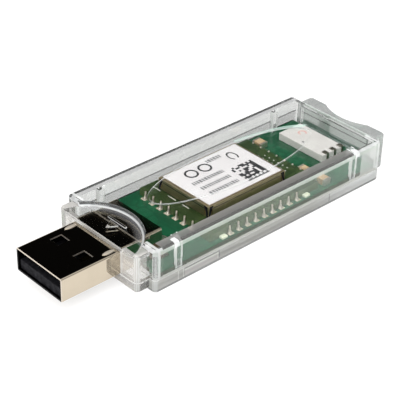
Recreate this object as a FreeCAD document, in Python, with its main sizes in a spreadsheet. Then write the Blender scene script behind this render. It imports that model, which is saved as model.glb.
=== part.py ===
"""Smart home USB radio stick with a clear two-part snap-fit housing.

Millimetres. +X runs from the plug to the rear end, -Y is the side seen in the
photograph, +Z is up. The origin is on the underside, in the middle of the
overall length and width. The stick is laid out from the inside outwards: the
plug, radio board and antenna block set the main board, and the main board sets
the housing. Stations along the length are counted from the tip of the plug.
"""
import FreeCAD, Part
import os
import Sketcher

doc = FreeCAD.newDocument("RadioStick")

# Driving dimensions
DIMENSIONS = [
    # plug
    ("plug_exposed", 11.8, "plug in front of the housing"),
    ("plug_shell_length", 20.8, "tip to the rear of the metal shell"),
    ("plug_width", 12.0, "standard plug shell"),
    ("plug_height", 4.5, "standard plug shell"),
    ("plug_above_board", 1.5, "plug axis above the main board's upper face"),
    ("plug_sheet", 0.3, "sheet of the metal shell"),
    ("plug_round", 0.35, "bends of the metal shell"),
    ("window_size", 2.35, "square windows of the metal shell"),
    ("window_front", 5.4, "tip to the windows"),
    ("window_side", 1.9, "middle plane to the windows"),
    ("dimple_front", 10.3, "tip to the middle of the pressed dimples"),
    ("dimple_side", 4.95, "middle plane to the dimples"),
    ("dimple_length", 2.6, "pressed dimples"),
    ("dimple_width", 0.9, "pressed dimples"),
    ("dimple_height", 0.16, "pressed dimples"),
    ("tab_length", 2.6, "solder tabs of the metal shell"),
    ("tab_reach", 1.2, "solder tabs out from the shell's sides"),
    ("tongue_thick", 1.75, "insulating tongue"),
    ("tongue_setback", 0.45, "tongue behind the shell's front edge"),
    ("tongue_length", 11.6, "tongue in front of its block"),
    ("contact_width", 1.0, "gold contacts"),
    ("contact_thick", 0.12, "gold contacts"),
    ("contact_inner", 1.0, "middle plane to the inner pair"),
    ("contact_outer", 3.5, "middle plane to the outer pair"),
    ("contact_inner_setback", 2.7, "tip to the inner pair"),
    ("contact_outer_setback", 1.7, "tip to the outer pair"),
    # main board
    ("board_width", 19.9, "main board"),
    ("board_thick", 0.8, "main board"),
    ("board_gap", 0.2, "main board to the housing"),
    ("board_under", 1.05, "room under the main board"),
    ("slot_gap", 0.1, "main board to the plug"),
    # radio board
    ("module_gap", 7.7, "plug shell to the radio board"),
    ("module_length", 26.5, "radio board"),
    ("module_width", 17.6, "radio board"),
    ("module_thick", 1.4, "radio board"),
    ("half_hole_radius", 0.42, "plated half holes"),
    ("half_hole_pitch", 2.05, "plated half holes"),
    ("half_hole_first", 4.55, "radio board's front edge to the first one"),
    ("half_hole_shift", 1.0, "sideways shift of the front and rear rows"),
    # shield and label
    ("shield_setback", 2.4, "radio board's front edge to the shield"),
    ("shield_length", 18.6, "shield"),
    ("shield_width", 12.9, "shield"),
    ("shield_height", 2.4, "shield above the radio board"),
    ("shield_sheet", 0.2, "sheet of the shield"),
    ("lid_raise", 0.45, "radio board to the lid's lower edge"),
    ("fence_drop", 0.15, "fence's upper edge under the lid's plate"),
    ("slit_width", 0.35, "slits beside the lid's corners"),
    ("slit_inset", 0.7, "lid's corner to its slits"),
    ("label_margin_ends", 0.55, "shield's ends to the label"),
    ("label_margin_sides", 0.4, "shield's sides to the label"),
    ("label_thick", 0.1, "label"),
    ("label_clearance", 0.15, "label to the ceiling"),
    # antenna block
    ("antenna_gap", 6.2, "radio board to the antenna block"),
    ("antenna_length", 5.8, "antenna block"),
    ("antenna_near", 4.75, "middle plane to its near end"),
    ("antenna_far", 6.5, "middle plane to its far end"),
    ("antenna_thick", 1.5, "antenna block"),
    ("antenna_margin", 1.9, "antenna block to the board's rear edge"),
    ("terminal_thick", 0.12, "antenna terminals"),
    ("terminal_bar", 0.9, "terminal on the block, along the stick"),
    ("terminal_depth", 1.0, "terminal on the block, across the stick"),
    ("terminal_leg", 0.55, "terminal's leg down the near end"),
    ("terminal_first", 0.85, "block's front edge to the first terminal"),
    ("terminal_pitch", 2.0, "antenna terminals"),
    # housing
    ("wall", 1.25, "floor, ceiling and front wall"),
    ("side_wall", 1.45, "side walls"),
    ("rear_wall", 0.7, "rear shoulder"),
    ("front_collar_length", 2.7, "stepped-in front collar"),
    ("rear_collar_length", 3.4, "stepped-in rear collar"),
    ("front_step", 1.4, "side step of the front collar"),
    ("rear_step", 2.0, "side step of the rear collar"),
    ("collar_drop", 0.55, "step of both collars at the top and the base"),
    ("corner_radius", 0.9, "upright corners"),
    ("top_round", 0.65, "edges of the top face"),
    ("edge_round", 0.5, "lower edges, and the edges of both collars"),
    ("seam_height", 2.6, "parting line above the base"),
    ("scoop_radius", 10.0, "concave rear face, in plan"),
    ("scoop_depth", 1.9, "concave rear face"),
    ("thumb_radius", 10.0, "round recess behind the plug, in plan"),
    ("thumb_reach", 4.7, "recess behind the front shoulder"),
    ("thumb_drop", 0.2, "recess below the top of the front collar"),
    ("thumb_round", 0.65, "hollow at the foot of the recess's side"),
    ("arrow_setback", 1.9, "collar's front face to the raised arrow"),
    ("arrow_side", 2.2, "raised arrow in the recess"),
    ("arrow_height", 0.2, "raised arrow and bar in the recess"),
    ("bar_gap", 0.4, "raised arrow to its bar"),
    ("bar_length", 4.6, "raised bar across the recess"),
    ("bar_width", 0.45, "raised bar across the recess"),
    ("oval_back", 28.5, "front shoulder to the middle of the oval line"),
    ("oval_shift", 0.3, "sideways place of the oval line"),
    ("oval_length", 38.4, "moulded oval line on the top"),
    ("oval_width", 11.2, "moulded oval line on the top"),
    ("oval_line", 0.35, "width of the moulded line"),
    ("oval_depth", 0.15, "depth of the moulded line"),
    # snap fit and supports
    ("fit_gap", 0.05, "play between the two shells"),
    ("snap_front", 5.3, "front shoulder to the first pair of arms"),
    ("snap_rear", 6.7, "cavity's rear end to the second pair of arms"),
    ("snap_width", 1.3, "arm along the stick"),
    ("snap_slim", 1.2, "arm's lower part along the stick"),
    ("snap_thick", 0.8, "arm across the stick"),
    ("snap_step", 1.2, "board's upper face to the arm's narrowing"),
    ("snap_foot", 0.25, "floor to the arm's lower end"),
    ("notch_gap", 0.2, "main board to the arms"),
    ("barb_depth", 0.4, "hook of the arm"),
    ("barb_height", 0.6, "hook of the arm"),
    ("lip_thick", 0.55, "locating lips"),
    ("lip_drop", 1.2, "locating lips below the parting line"),
    ("lip_1_back", 2.1, "front shoulder to the first lip"),
    ("lip_1_length", 2.2, "first lip"),
    ("lip_2_back", 7.4, "front shoulder to the second lip"),
    ("lip_2_length", 6.9, "second lip"),
    ("lip_3_back", 19.7, "front shoulder to the third lip"),
    ("lip_3_length", 21.0, "third lip"),
    ("peg_radius", 0.8, "pegs that carry the main board"),
    ("peg_side", 6.4, "middle plane to the pegs"),
    ("peg_1_back", 1.6, "plug shell's rear to the first pegs"),
    ("peg_2_back", 18.5, "plug shell's rear to the second pegs"),
    ("peg_3_back", 36.5, "plug shell's rear to the third pegs"),
]

# Small parts: setback from their datum, sideways place, length, width, height
TOP_PARTS = [
    ("capacitor_1", 0.9, 7.1, 1.7, 2.3, 1.1),
    ("capacitor_2", 0.8, -4.6, 1.5, 1.9, 0.8),
    ("capacitor_3", 1.3, -8.0, 1.7, 2.2, 1.2),
]
UNDER_PARTS = [
    ("bridge_chip", 1.5, 0.0, 5.0, 5.0, 0.85),
    ("voltage_regulator", 14.5, 3.0, 2.9, 1.6, 0.95),
    ("crystal", 10.0, -3.6, 3.2, 2.5, 0.7),
    ("capacitor_4", 9.0, 3.4, 2.0, 1.25, 0.8),
]
SMALL_PART_WORDS = ("setback", "side", "length", "width", "height")

for row in TOP_PARTS + UNDER_PARTS:
    for word, value in zip(SMALL_PART_WORDS, row[1:]):
        DIMENSIONS.append(("%s_%s" % (row[0], word), value, row[0].replace("_", " ")))

sheet = doc.addObject("Spreadsheet::Sheet", "Dims")
for row, (alias, value, note) in enumerate(DIMENSIONS, start=1):
    sheet.set("A%d" % row, alias)
    sheet.set("B%d" % row, str(value))
    sheet.setAlias("B%d" % row, alias)
    sheet.set("C%d" % row, note)
doc.recompute()

# Stations from the plug's tip
BODY_FRONT = "(Dims.plug_exposed + Dims.front_collar_length)"
MODULE_FRONT = "(Dims.plug_shell_length + Dims.module_gap)"
MODULE_REAR = "(%s + Dims.module_length)" % MODULE_FRONT
SHIELD_FRONT = "(%s + Dims.shield_setback)" % MODULE_FRONT
SHIELD_REAR = "(%s + Dims.shield_length)" % SHIELD_FRONT
ANTENNA_FRONT = "(%s + Dims.antenna_gap)" % MODULE_REAR
ANTENNA_REAR = "(%s + Dims.antenna_length)" % ANTENNA_FRONT
BOARD_REAR = "(%s + Dims.antenna_margin)" % ANTENNA_REAR
CAVITY_FRONT = "(%s + Dims.wall)" % BODY_FRONT
BOARD_FRONT = "(%s + Dims.board_gap)" % CAVITY_FRONT
CAVITY_REAR = "(%s + Dims.board_gap)" % BOARD_REAR
BODY_REAR = "(%s + Dims.rear_wall)" % CAVITY_REAR
OVERALL_LENGTH = "(%s + Dims.rear_collar_length)" % BODY_REAR
SCOOP_APEX = "(%s - Dims.scoop_depth)" % OVERALL_LENGTH

# Heights from the base
BOARD_LOW = "(Dims.wall + Dims.board_under)"
BOARD_TOP = "(%s + Dims.board_thick)" % BOARD_LOW
MODULE_TOP = "(%s + Dims.module_thick)" % BOARD_TOP
SHIELD_TOP = "(%s + Dims.shield_height)" % MODULE_TOP
CEILING = "(%s + Dims.label_thick + Dims.label_clearance)" % SHIELD_TOP
BODY_TOP = "(%s + Dims.wall)" % CEILING
COLLAR_TOP = "(%s - Dims.collar_drop)" % BODY_TOP
THUMB_FLOOR = "(%s - Dims.thumb_drop)" % COLLAR_TOP
PLUG_LOW = "(%s + Dims.plug_above_board - Dims.plug_height / 2)" % BOARD_TOP
PLUG_TOP = "(%s + Dims.plug_height)" % PLUG_LOW

# Half widths
INNER = "(Dims.board_width / 2 + Dims.board_gap)"
OUTER = "(%s + Dims.side_wall)" % INNER
FRONT_COLLAR = "(%s - Dims.front_step)" % OUTER
REAR_COLLAR = "(%s - Dims.rear_step)" % OUTER
PLUG_HALF = "(Dims.plug_width / 2)"
MODULE_HALF = "(Dims.module_width / 2)"
SHIELD_HALF = "(Dims.shield_width / 2)"

FACE = 1.0  # how far a cutting tool stands past the face it opens
PIECES = []


def bind(obj, **expressions):
    """Bind properties of an object to the sheet; "__" stands for a dot."""
    for name, expression in expressions.items():
        obj.setExpression(name.replace("__", "."), expression)
    return obj


def place(obj, x, y, z):
    """Place an object at a station, a sideways place and a height."""
    return bind(obj, Placement__Base__x="%s - %s / 2" % (x, OVERALL_LENGTH),
                Placement__Base__y=y, Placement__Base__z=z)


def box(name, x, y, z):
    """Box between two stations, two sideways places and two heights."""
    solid = doc.addObject("Part::Box", name)
    bind(solid, Length="(%s) - (%s)" % (x[1], x[0]),
         Width="(%s) - (%s)" % (y[1], y[0]),
         Height="(%s) - (%s)" % (z[1], z[0]))
    return place(solid, "(%s)" % x[0], y[0], z[0])


def middle_box(name, x, half, z):
    """Box across the middle plane, from its half width."""
    return box(name, x, ("-(%s)" % half, half), z)


def side_boxes(name, x, inner, outer, z):
    """The same box on the far and on the near side."""
    return [box(name + "Far", x, (inner, outer), z),
            box(name + "Near", x, ("-(%s)" % outer, "-(%s)" % inner), z)]


def post(name, radius, x, y, z):
    """Upright cylinder between two heights."""
    solid = doc.addObject("Part::Cylinder", name)
    bind(solid, Radius=radius, Height="(%s) - (%s)" % (z[1], z[0]))
    return place(solid, "(%s)" % x, y, z[0])


def fuse(name, parts):
    """Union of several objects."""
    union = doc.addObject("Part::MultiFuse", name)
    union.Shapes = parts
    union.Refine = True
    return union


def cut(name, base, tools):
    """Base less all the tools."""
    result = doc.addObject("Part::Cut", name)
    result.Base = base
    result.Tool = fuse(name + "Tools", tools) if len(tools) > 1 else tools[0]
    result.Refine = True
    return result


def common(name, first, second):
    """What two objects share."""
    result = doc.addObject("Part::MultiCommon", name)
    result.Shapes = [first, second]
    result.Refine = True
    return result


def rounded(base, radius_alias, keep):
    """Round the edges of base that keep() picks."""
    doc.recompute()
    fillet = doc.addObject("Part::Fillet", base.Name + "Round")
    fillet.Base = base
    radius = float(sheet.get(radius_alias))
    fillet.Edges = [(number, radius, radius)
                    for number, edge in enumerate(base.Shape.Edges, start=1)
                    if keep(edge)]
    doc.recompute()
    return fillet


def straight_along(axis):
    """Test for a straight edge along one axis."""
    def test(edge):
        if edge.Curve.TypeId != "Part::GeomLine":
            return False
        direction = edge.tangentAt(edge.FirstParameter)
        return abs(getattr(direction, axis)) > 0.99
    return test


def in_plane(base, top):
    """Test for an edge that lies all in the base's top plane, or in its bottom plane."""
    doc.recompute()
    bounds = base.Shape.BoundBox
    height = bounds.ZMax if top else bounds.ZMin
    return lambda edge: all(abs(vertex.Z - height) < 1e-6 for vertex in edge.Vertexes)


def plan_sketch(body, name, rectangles, height):
    """Sketch of rectangles in plan, each bound to the sheet on its four sides."""
    sketch = body.newObject("Sketcher::SketchObject", name)
    plane = next(f for f in body.Origin.OriginFeatures if f.Role == "XY_Plane")
    sketch.AttachmentSupport = [(plane, "")]
    sketch.MapMode = "FlatFace"
    bind(sketch, AttachmentOffset__Base__z=height)
    for number, (x0, x1, y0, y1) in enumerate(rectangles):
        left = 3.0 * number
        corners = [FreeCAD.Vector(left, 0, 0), FreeCAD.Vector(left + 1, 0, 0),
                   FreeCAD.Vector(left + 1, 1, 0), FreeCAD.Vector(left, 1, 0)]
        first = sketch.GeometryCount
        for i in range(4):
            sketch.addGeometry(Part.LineSegment(corners[i], corners[(i + 1) % 4]), False)
        for i in range(4):
            sketch.addConstraint(Sketcher.Constraint(
                "Coincident", first + i, 2, first + (i + 1) % 4, 1))
            kind = "Horizontal" if i % 2 == 0 else "Vertical"
            sketch.addConstraint(Sketcher.Constraint(kind, first + i))
        for side, kind, corner, start, expression in (
                ("Front", "DistanceX", 0, left, "%s - %s / 2" % (x0, OVERALL_LENGTH)),
                ("Rear", "DistanceX", 1, left + 1, "%s - %s / 2" % (x1, OVERALL_LENGTH)),
                ("Near", "DistanceY", 0, 0.0, y0),
                ("Far", "DistanceY", 3, 1.0, y1)):
            index = sketch.addConstraint(Sketcher.Constraint(
                kind, -1, 1, first + corner, 1, start))
            label = "%s%d" % (side, number)
            sketch.renameConstraint(index, label)
            sketch.setExpression("Constraints." + label, expression)
    return sketch


def plate(name, x, y, bottom, thickness):
    """Body padded up from one rectangle in plan."""
    body = doc.addObject("PartDesign::Body", name)
    pad = body.newObject("PartDesign::Pad", name + "Pad")
    pad.Profile = plan_sketch(body, name + "Plan", [x + y], bottom)
    bind(pad, Length=thickness)
    doc.recompute()
    return body


def pocket(body, name, rectangles):
    """Cut rectangles in plan through the whole body, from the base upward."""
    before = body.Shape.Volume
    feature = body.newObject("PartDesign::Pocket", name)
    feature.Profile = plan_sketch(body, name + "Plan", rectangles, "0")
    feature.Type = "ThroughAll"
    feature.Reversed = True
    doc.recompute()
    if body.Shape.Volume >= before:
        raise RuntimeError("%s cut nothing" % name)


def piece(obj, label):
    """Keep a finished object as a piece, under its own label."""
    obj.Label = label
    PIECES.append(obj)
    return obj


def camel(label):
    """Internal name for a label."""
    return "".join(word.capitalize() for word in label.split("_"))


# Outside form of the housing, shared by both shells
body_block = rounded(
    middle_box("BodyBlock", (BODY_FRONT, BODY_REAR), OUTER, ("0", BODY_TOP)),
    "corner_radius", straight_along("z"))
body_block = rounded(body_block, "top_round", in_plane(body_block, True))
body_block = rounded(body_block, "edge_round", in_plane(body_block, False))

COLLAR_HEIGHTS = ("Dims.collar_drop", COLLAR_TOP)
collars = [
    middle_box("FrontCollar", ("Dims.plug_exposed", CAVITY_FRONT), FRONT_COLLAR,
               COLLAR_HEIGHTS),
    middle_box("RearCollar", (CAVITY_REAR + " - Dims.wall", OVERALL_LENGTH), REAR_COLLAR,
               COLLAR_HEIGHTS)]
for number, collar in enumerate(collars):
    collar = rounded(collar, "corner_radius", straight_along("z"))
    collar = rounded(collar, "edge_round", in_plane(collar, True))
    collars[number] = rounded(collar, "edge_round", in_plane(collar, False))
scoop = post("Scoop", "Dims.scoop_radius", SCOOP_APEX + " + Dims.scoop_radius", "0",
             ("-%s" % FACE, "%s + %s" % (BODY_TOP, FACE)))
outside = cut("Outside", fuse("OutsideBlocks", [body_block] + collars), [scoop])

# Inside of the housing: main cavity, both collars and the mouth for the plug
cavity = middle_box("Cavity", (CAVITY_FRONT, CAVITY_REAR), INNER, ("Dims.wall", CEILING))
COLLAR_HOLLOW = ("Dims.collar_drop + Dims.wall", "%s - Dims.wall" % COLLAR_TOP)
front_hollow = middle_box(
    "FrontHollow", ("Dims.plug_exposed + Dims.wall", CAVITY_FRONT + " + Dims.wall"),
    FRONT_COLLAR + " - Dims.wall", COLLAR_HOLLOW)
rear_hollow = middle_box(
    "RearHollow", (CAVITY_REAR + " - Dims.wall", SCOOP_APEX + " - Dims.wall"),
    REAR_COLLAR + " - Dims.wall", COLLAR_HOLLOW)
plug_mouth = middle_box(
    "PlugMouth", ("Dims.plug_exposed - %s" % FACE, "Dims.plug_shell_length + Dims.slot_gap"),
    PLUG_HALF, (PLUG_LOW, PLUG_TOP))
shell = cut("Housing", outside, [cavity, front_hollow, rear_hollow, plug_mouth])

# Round recess behind the plug, open to the front
THUMB_CENTRE = "(%s + Dims.thumb_reach - Dims.thumb_radius)" % BODY_FRONT
thumb = post("ThumbRecess", "Dims.thumb_radius", THUMB_CENTRE, "0",
             (THUMB_FLOOR, "%s + %s" % (BODY_TOP, FACE)))
thumb = rounded(thumb, "thumb_round", in_plane(thumb, False))


def oval_disc(name, margin):
    """Elliptical disc over the top face, larger or smaller than the oval line."""
    outline = doc.addObject("Part::Ellipse", name + "Outline")
    bind(outline, MajorRadius="Dims.oval_length / 2 + %s" % margin,
         MinorRadius="Dims.oval_width / 2 + %s" % margin)
    place(outline, "%s + Dims.oval_back" % BODY_FRONT, "Dims.oval_shift",
          "%s - Dims.oval_depth" % BODY_TOP)
    disc = doc.addObject("Part::Extrusion", name)
    disc.Base = outline
    disc.DirMode = "Custom"
    disc.Dir = FreeCAD.Vector(0, 0, 1)
    disc.Solid = True
    return bind(disc, LengthFwd="Dims.oval_depth + %s" % FACE)


oval_line = cut("OvalLine", oval_disc("OvalOuter", "Dims.oval_line / 2"),
                [oval_disc("OvalInner", "-Dims.oval_line / 2")])

# Raised arrow in the recess, pointing to the plug, and the bar behind it
ARROW_TIP = "(Dims.plug_exposed + Dims.arrow_setback)"
BAR_FRONT = "(%s + Dims.arrow_side * sqrt(3) / 2 + Dims.bar_gap)" % ARROW_TIP
bar = middle_box("Bar", (BAR_FRONT, BAR_FRONT + " + Dims.bar_width"), "Dims.bar_length / 2",
                 (THUMB_FLOOR, "%s + Dims.arrow_height" % THUMB_FLOOR))
arrow = doc.addObject("Part::Prism", "Arrow")
arrow.Polygon = 3
arrow.Placement.Rotation = FreeCAD.Rotation(FreeCAD.Vector(0, 0, 1), 180)
bind(arrow, Circumradius="Dims.arrow_side / sqrt(3)", Height="Dims.arrow_height")
place(arrow, ARROW_TIP + " + Dims.arrow_side / sqrt(3)", "0", THUMB_FLOOR)

# Snap arms with their hooks, and the pockets that the hooks catch in
arms = []
hook_pockets = []
SNAP_FOOT = "(Dims.wall + Dims.snap_foot)"
SNAP_STEP = "(%s + Dims.snap_step)" % BOARD_TOP
SNAP_FRONTS = (("Front", "(%s + Dims.snap_front)" % BODY_FRONT),
               ("Rear", "(%s - Dims.snap_rear)" % CAVITY_REAR))
for tag, start in SNAP_FRONTS:
    end = "%s + Dims.snap_width" % start
    slim = (end + " - Dims.snap_slim", end)
    arms += side_boxes("ArmUpper" + tag, (start, end), INNER + " - Dims.snap_thick",
                       INNER + " + Dims.fit_gap", (SNAP_STEP, CEILING + " + Dims.fit_gap"))
    arms += side_boxes("ArmLower" + tag, slim, INNER + " - Dims.snap_thick",
                       INNER + " - Dims.fit_gap", (SNAP_FOOT, SNAP_STEP))
    arms += side_boxes("Hook" + tag, slim, INNER + " - Dims.snap_thick / 2",
                       INNER + " + Dims.barb_depth",
                       (SNAP_FOOT, SNAP_FOOT + " + Dims.barb_height"))
    hook_pockets += side_boxes(
        "HookPocket" + tag, (slim[0] + " - Dims.fit_gap", slim[1] + " + Dims.fit_gap"),
        INNER + " - Dims.fit_gap", INNER + " + Dims.barb_depth + Dims.fit_gap",
        (SNAP_FOOT + " - Dims.fit_gap", SNAP_FOOT + " + Dims.barb_height + Dims.fit_gap"))

# Locating lips of the upper shell, and the rebates that take them
lips = []
rebates = []
LIP_FOOT = "(Dims.seam_height - Dims.lip_drop)"
for number in (1, 2, 3):
    start = "(%s + Dims.lip_%d_back)" % (BODY_FRONT, number)
    end = "(%s + Dims.lip_%d_length)" % (start, number)
    lips += side_boxes("Lip%d" % number, (start, end), INNER, INNER + " + Dims.lip_thick",
                       (LIP_FOOT, "Dims.seam_height + Dims.fit_gap"))
    rebates += side_boxes(
        "Rebate%d" % number, (start + " - Dims.fit_gap", end + " + Dims.fit_gap"),
        INNER + " - Dims.fit_gap", INNER + " + Dims.lip_thick + Dims.fit_gap",
        (LIP_FOOT + " - Dims.fit_gap", "Dims.seam_height"))

upper_space = middle_box("UpperSpace", ("-%s" % FACE, "%s + %s" % (OVERALL_LENGTH, FACE)),
                         "%s + %s" % (OUTER, FACE),
                         ("Dims.seam_height", "%s + %s" % (BODY_TOP, FACE)))
upper_walls = cut("UpperWalls", common("UpperShell", shell, upper_space),
                  [thumb, oval_line])
piece(fuse("TopShell", [upper_walls, arrow, bar] + arms + lips), "top_shell")

pegs = []
for number in (1, 2, 3):
    for tag, sign in (("Far", ""), ("Near", "-")):
        pegs.append(post("Peg%d%s" % (number, tag), "Dims.peg_radius",
                         "Dims.plug_shell_length + Dims.peg_%d_back" % number,
                         sign + "Dims.peg_side", ("Dims.wall - Dims.fit_gap", BOARD_LOW)))
lower_walls = cut("LowerWalls", shell, [upper_space] + rebates + hook_pockets)
piece(fuse("BottomShell", [lower_walls] + pegs), "bottom_shell")

# Metal shell of the plug, with its windows, dimples and solder tabs
plug_outer = rounded(
    middle_box("PlugOuter", ("0", "Dims.plug_shell_length"), PLUG_HALF, (PLUG_LOW, PLUG_TOP)),
    "plug_round", straight_along("x"))
TONGUE_HALF = "(%s - Dims.plug_sheet)" % PLUG_HALF
TONGUE_LOW = "(%s + Dims.plug_sheet)" % PLUG_LOW
TONGUE_TOP = "(%s + Dims.tongue_thick)" % TONGUE_LOW
TONGUE_ROOF = "(%s - Dims.plug_sheet)" % PLUG_TOP
TONGUE_END = "(Dims.tongue_setback + Dims.tongue_length)"
SHELL_BACK = "(Dims.plug_shell_length - Dims.plug_sheet)"
plug_cuts = [middle_box("PlugInner", ("-%s" % FACE, SHELL_BACK), TONGUE_HALF,
                        (TONGUE_LOW, TONGUE_ROOF))]
window_x = ("Dims.window_front", "Dims.window_front + Dims.window_size")
for tag, heights in (("Top", (TONGUE_ROOF + " - Dims.plug_sheet", "%s + %s" % (PLUG_TOP, FACE))),
                     ("Base", ("%s - %s" % (PLUG_LOW, FACE), TONGUE_LOW))):
    plug_cuts += side_boxes("Window" + tag, window_x, "Dims.window_side",
                            "Dims.window_side + Dims.window_size", heights)
plug_extras = side_boxes(
    "SolderTab", ("Dims.plug_shell_length - Dims.tab_length", "Dims.plug_shell_length"),
    PLUG_HALF + " - Dims.plug_sheet / 2", PLUG_HALF + " + Dims.tab_reach",
    (BOARD_TOP, BOARD_TOP + " + Dims.plug_sheet"))
for tag, sign in (("Far", ""), ("Near", "-")):
    dimple = doc.addObject("Part::Ellipsoid", "Dimple" + tag)
    bind(dimple, Radius1="Dims.dimple_height", Radius2="Dims.dimple_length / 2",
         Radius3="Dims.dimple_width / 2")
    place(dimple, "Dims.dimple_front", sign + "Dims.dimple_side", PLUG_TOP)
    plug_extras.append(dimple)
usb_shell = piece(fuse("UsbShell", [cut("PlugTube", plug_outer, plug_cuts)] + plug_extras),
                  "usb_shell")

# Insulating tongue with four gold contacts let into it
CONTACTS = (("1", "-Dims.contact_outer", "Dims.contact_outer_setback"),
            ("2", "-Dims.contact_inner", "Dims.contact_inner_setback"),
            ("3", "Dims.contact_inner", "Dims.contact_inner_setback"),
            ("4", "Dims.contact_outer", "Dims.contact_outer_setback"))
CONTACT_LOW = "(%s - Dims.contact_thick)" % TONGUE_TOP
tongue = fuse("Tongue", [
    middle_box("TongueBlade", ("Dims.tongue_setback", TONGUE_END), TONGUE_HALF,
               (TONGUE_LOW, TONGUE_TOP)),
    middle_box("TongueBlock", (TONGUE_END, SHELL_BACK), TONGUE_HALF,
               (TONGUE_LOW, TONGUE_ROOF))])
grooves = []
for tag, middle, setback in CONTACTS:
    across = (middle + " - Dims.contact_width / 2", middle + " + Dims.contact_width / 2")
    grooves.append(box("Groove" + tag, (setback, TONGUE_END), across,
                       (CONTACT_LOW, TONGUE_TOP + " + Dims.contact_thick")))
    piece(plate("Contact" + tag, (setback, TONGUE_END), across, CONTACT_LOW,
                "Dims.contact_thick"), "usb_contact_" + tag)
piece(cut("UsbTongue", tongue, grooves), "usb_tongue")

# Main board, let out for the plug and the snap arms
main_board = plate("MainBoard", (BOARD_FRONT, BOARD_REAR),
                   ("-Dims.board_width / 2", "Dims.board_width / 2"), BOARD_LOW,
                   "Dims.board_thick")
SLOT_HALF = "(%s + Dims.slot_gap)" % PLUG_HALF
BOARD_SIDE = "(Dims.board_width / 2 + %s)" % FACE
pocket(main_board, "PlugSlot",
       [(BOARD_FRONT + " - %s" % FACE, "Dims.plug_shell_length + Dims.slot_gap",
         "-" + SLOT_HALF, SLOT_HALF)])
notch_spans = []
for tag, start in SNAP_FRONTS:
    notch_spans.append((start + " - Dims.notch_gap",
                        start + " + Dims.snap_width + Dims.notch_gap",
                        "(%s - Dims.snap_thick - Dims.notch_gap)" % INNER))
for number, (x0, x1, depth) in enumerate(notch_spans):
    pocket(main_board, "Notch%d" % number,
           [(x0, x1, depth, BOARD_SIDE), (x0, x1, "-" + BOARD_SIDE, "-" + depth)])
piece(main_board, "main_board")

# Radio board with plated half holes down its sides and across its ends
module_blank = middle_box("ModuleBlank", (MODULE_FRONT, MODULE_REAR), MODULE_HALF,
                          (BOARD_TOP, MODULE_TOP))
THROUGH_MODULE = ("%s - %s" % (BOARD_TOP, FACE), "%s + %s" % (MODULE_TOP, FACE))
SIDE_HOLES = 9
END_HOLES = (-3, -2, -1, 0, 1, 2, 3)
half_holes = []
for number in range(SIDE_HOLES):
    station = "%s + Dims.half_hole_first + %d * Dims.half_hole_pitch" % (MODULE_FRONT, number)
    for tag, sign in (("Far", ""), ("Near", "-")):
        half_holes.append(post("HalfHole%s%d" % (tag, number), "Dims.half_hole_radius",
                               station, sign + MODULE_HALF, THROUGH_MODULE))
for number, step in enumerate(END_HOLES):
    side = "Dims.half_hole_shift + %d * Dims.half_hole_pitch" % step
    for tag, station in (("Front", MODULE_FRONT), ("Rear", MODULE_REAR)):
        half_holes.append(post("HalfHole%s%d" % (tag, number), "Dims.half_hole_radius",
                               station, side, THROUGH_MODULE))
piece(cut("RadioBoard", module_blank, half_holes), "radio_board")

# Shield: a fence on the radio board and a lid clipped over it, slit beside
# each corner where the sheet is folded down
FENCE_HALF = "(%s - Dims.shield_sheet)" % SHIELD_HALF
FENCE_X = (SHIELD_FRONT + " + Dims.shield_sheet", SHIELD_REAR + " - Dims.shield_sheet")
LID_UNDER = "(%s - Dims.shield_sheet)" % SHIELD_TOP
fence = cut("Fence",
            middle_box("FenceOuter", FENCE_X, FENCE_HALF,
                       (MODULE_TOP, LID_UNDER + " - Dims.fence_drop")),
            [middle_box("FenceInner", (FENCE_X[0] + " + Dims.shield_sheet",
                                       FENCE_X[1] + " - Dims.shield_sheet"),
                        FENCE_HALF + " - Dims.shield_sheet",
                        (MODULE_TOP + " - %s" % FACE, SHIELD_TOP))])
piece(fence, "shield_fence")

LID_LOW = "(%s + Dims.lid_raise)" % MODULE_TOP
lid_block = middle_box("LidBlock", (SHIELD_FRONT, SHIELD_REAR), SHIELD_HALF,
                       (LID_LOW, SHIELD_TOP))
doc.recompute()
lid_top = lid_block.Shape.BoundBox.ZMax
lid_outer = rounded(lid_block, "shield_sheet",
                    lambda edge: all(abs(v.Z - lid_top) < 1e-6 for v in edge.Vertexes))
lid_cuts = [middle_box("LidInner", FENCE_X, FENCE_HALF,
                       (LID_LOW + " - %s" % FACE, LID_UNDER))]
SLIT_HEIGHTS = (LID_LOW + " - %s" % FACE, LID_UNDER)
SLIT_END = "Dims.slit_inset + Dims.slit_width"
SLIT_REACH = "2 * Dims.shield_sheet"
for tag, edge, sign in (("Front", SHIELD_FRONT, 1), ("Rear", SHIELD_REAR, -1)):
    ends = ("%s - %s" % (edge, SLIT_REACH), "%s + %s" % (edge, SLIT_REACH))
    lid_cuts += side_boxes("EndSlit" + tag, ends, "%s - (%s)" % (SHIELD_HALF, SLIT_END),
                           "%s - Dims.slit_inset" % SHIELD_HALF, SLIT_HEIGHTS)
    near, far = ("Dims.slit_inset", SLIT_END) if sign > 0 else (
        "-(%s)" % SLIT_END, "-Dims.slit_inset")
    lid_cuts += side_boxes("SideSlit" + tag, ("%s + %s" % (edge, near), "%s + %s" % (edge, far)),
                           "%s - %s" % (SHIELD_HALF, SLIT_REACH),
                           "%s + %s" % (SHIELD_HALF, SLIT_REACH), SLIT_HEIGHTS)
piece(cut("ShieldLid", lid_outer, lid_cuts), "shield_lid")

LABEL_HALF = "(%s - Dims.label_margin_sides)" % SHIELD_HALF
piece(plate("ModuleLabel",
            (SHIELD_FRONT + " + Dims.label_margin_ends", SHIELD_REAR + " - Dims.label_margin_ends"),
            ("-" + LABEL_HALF, LABEL_HALF), SHIELD_TOP, "Dims.label_thick"), "module_label")

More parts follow.
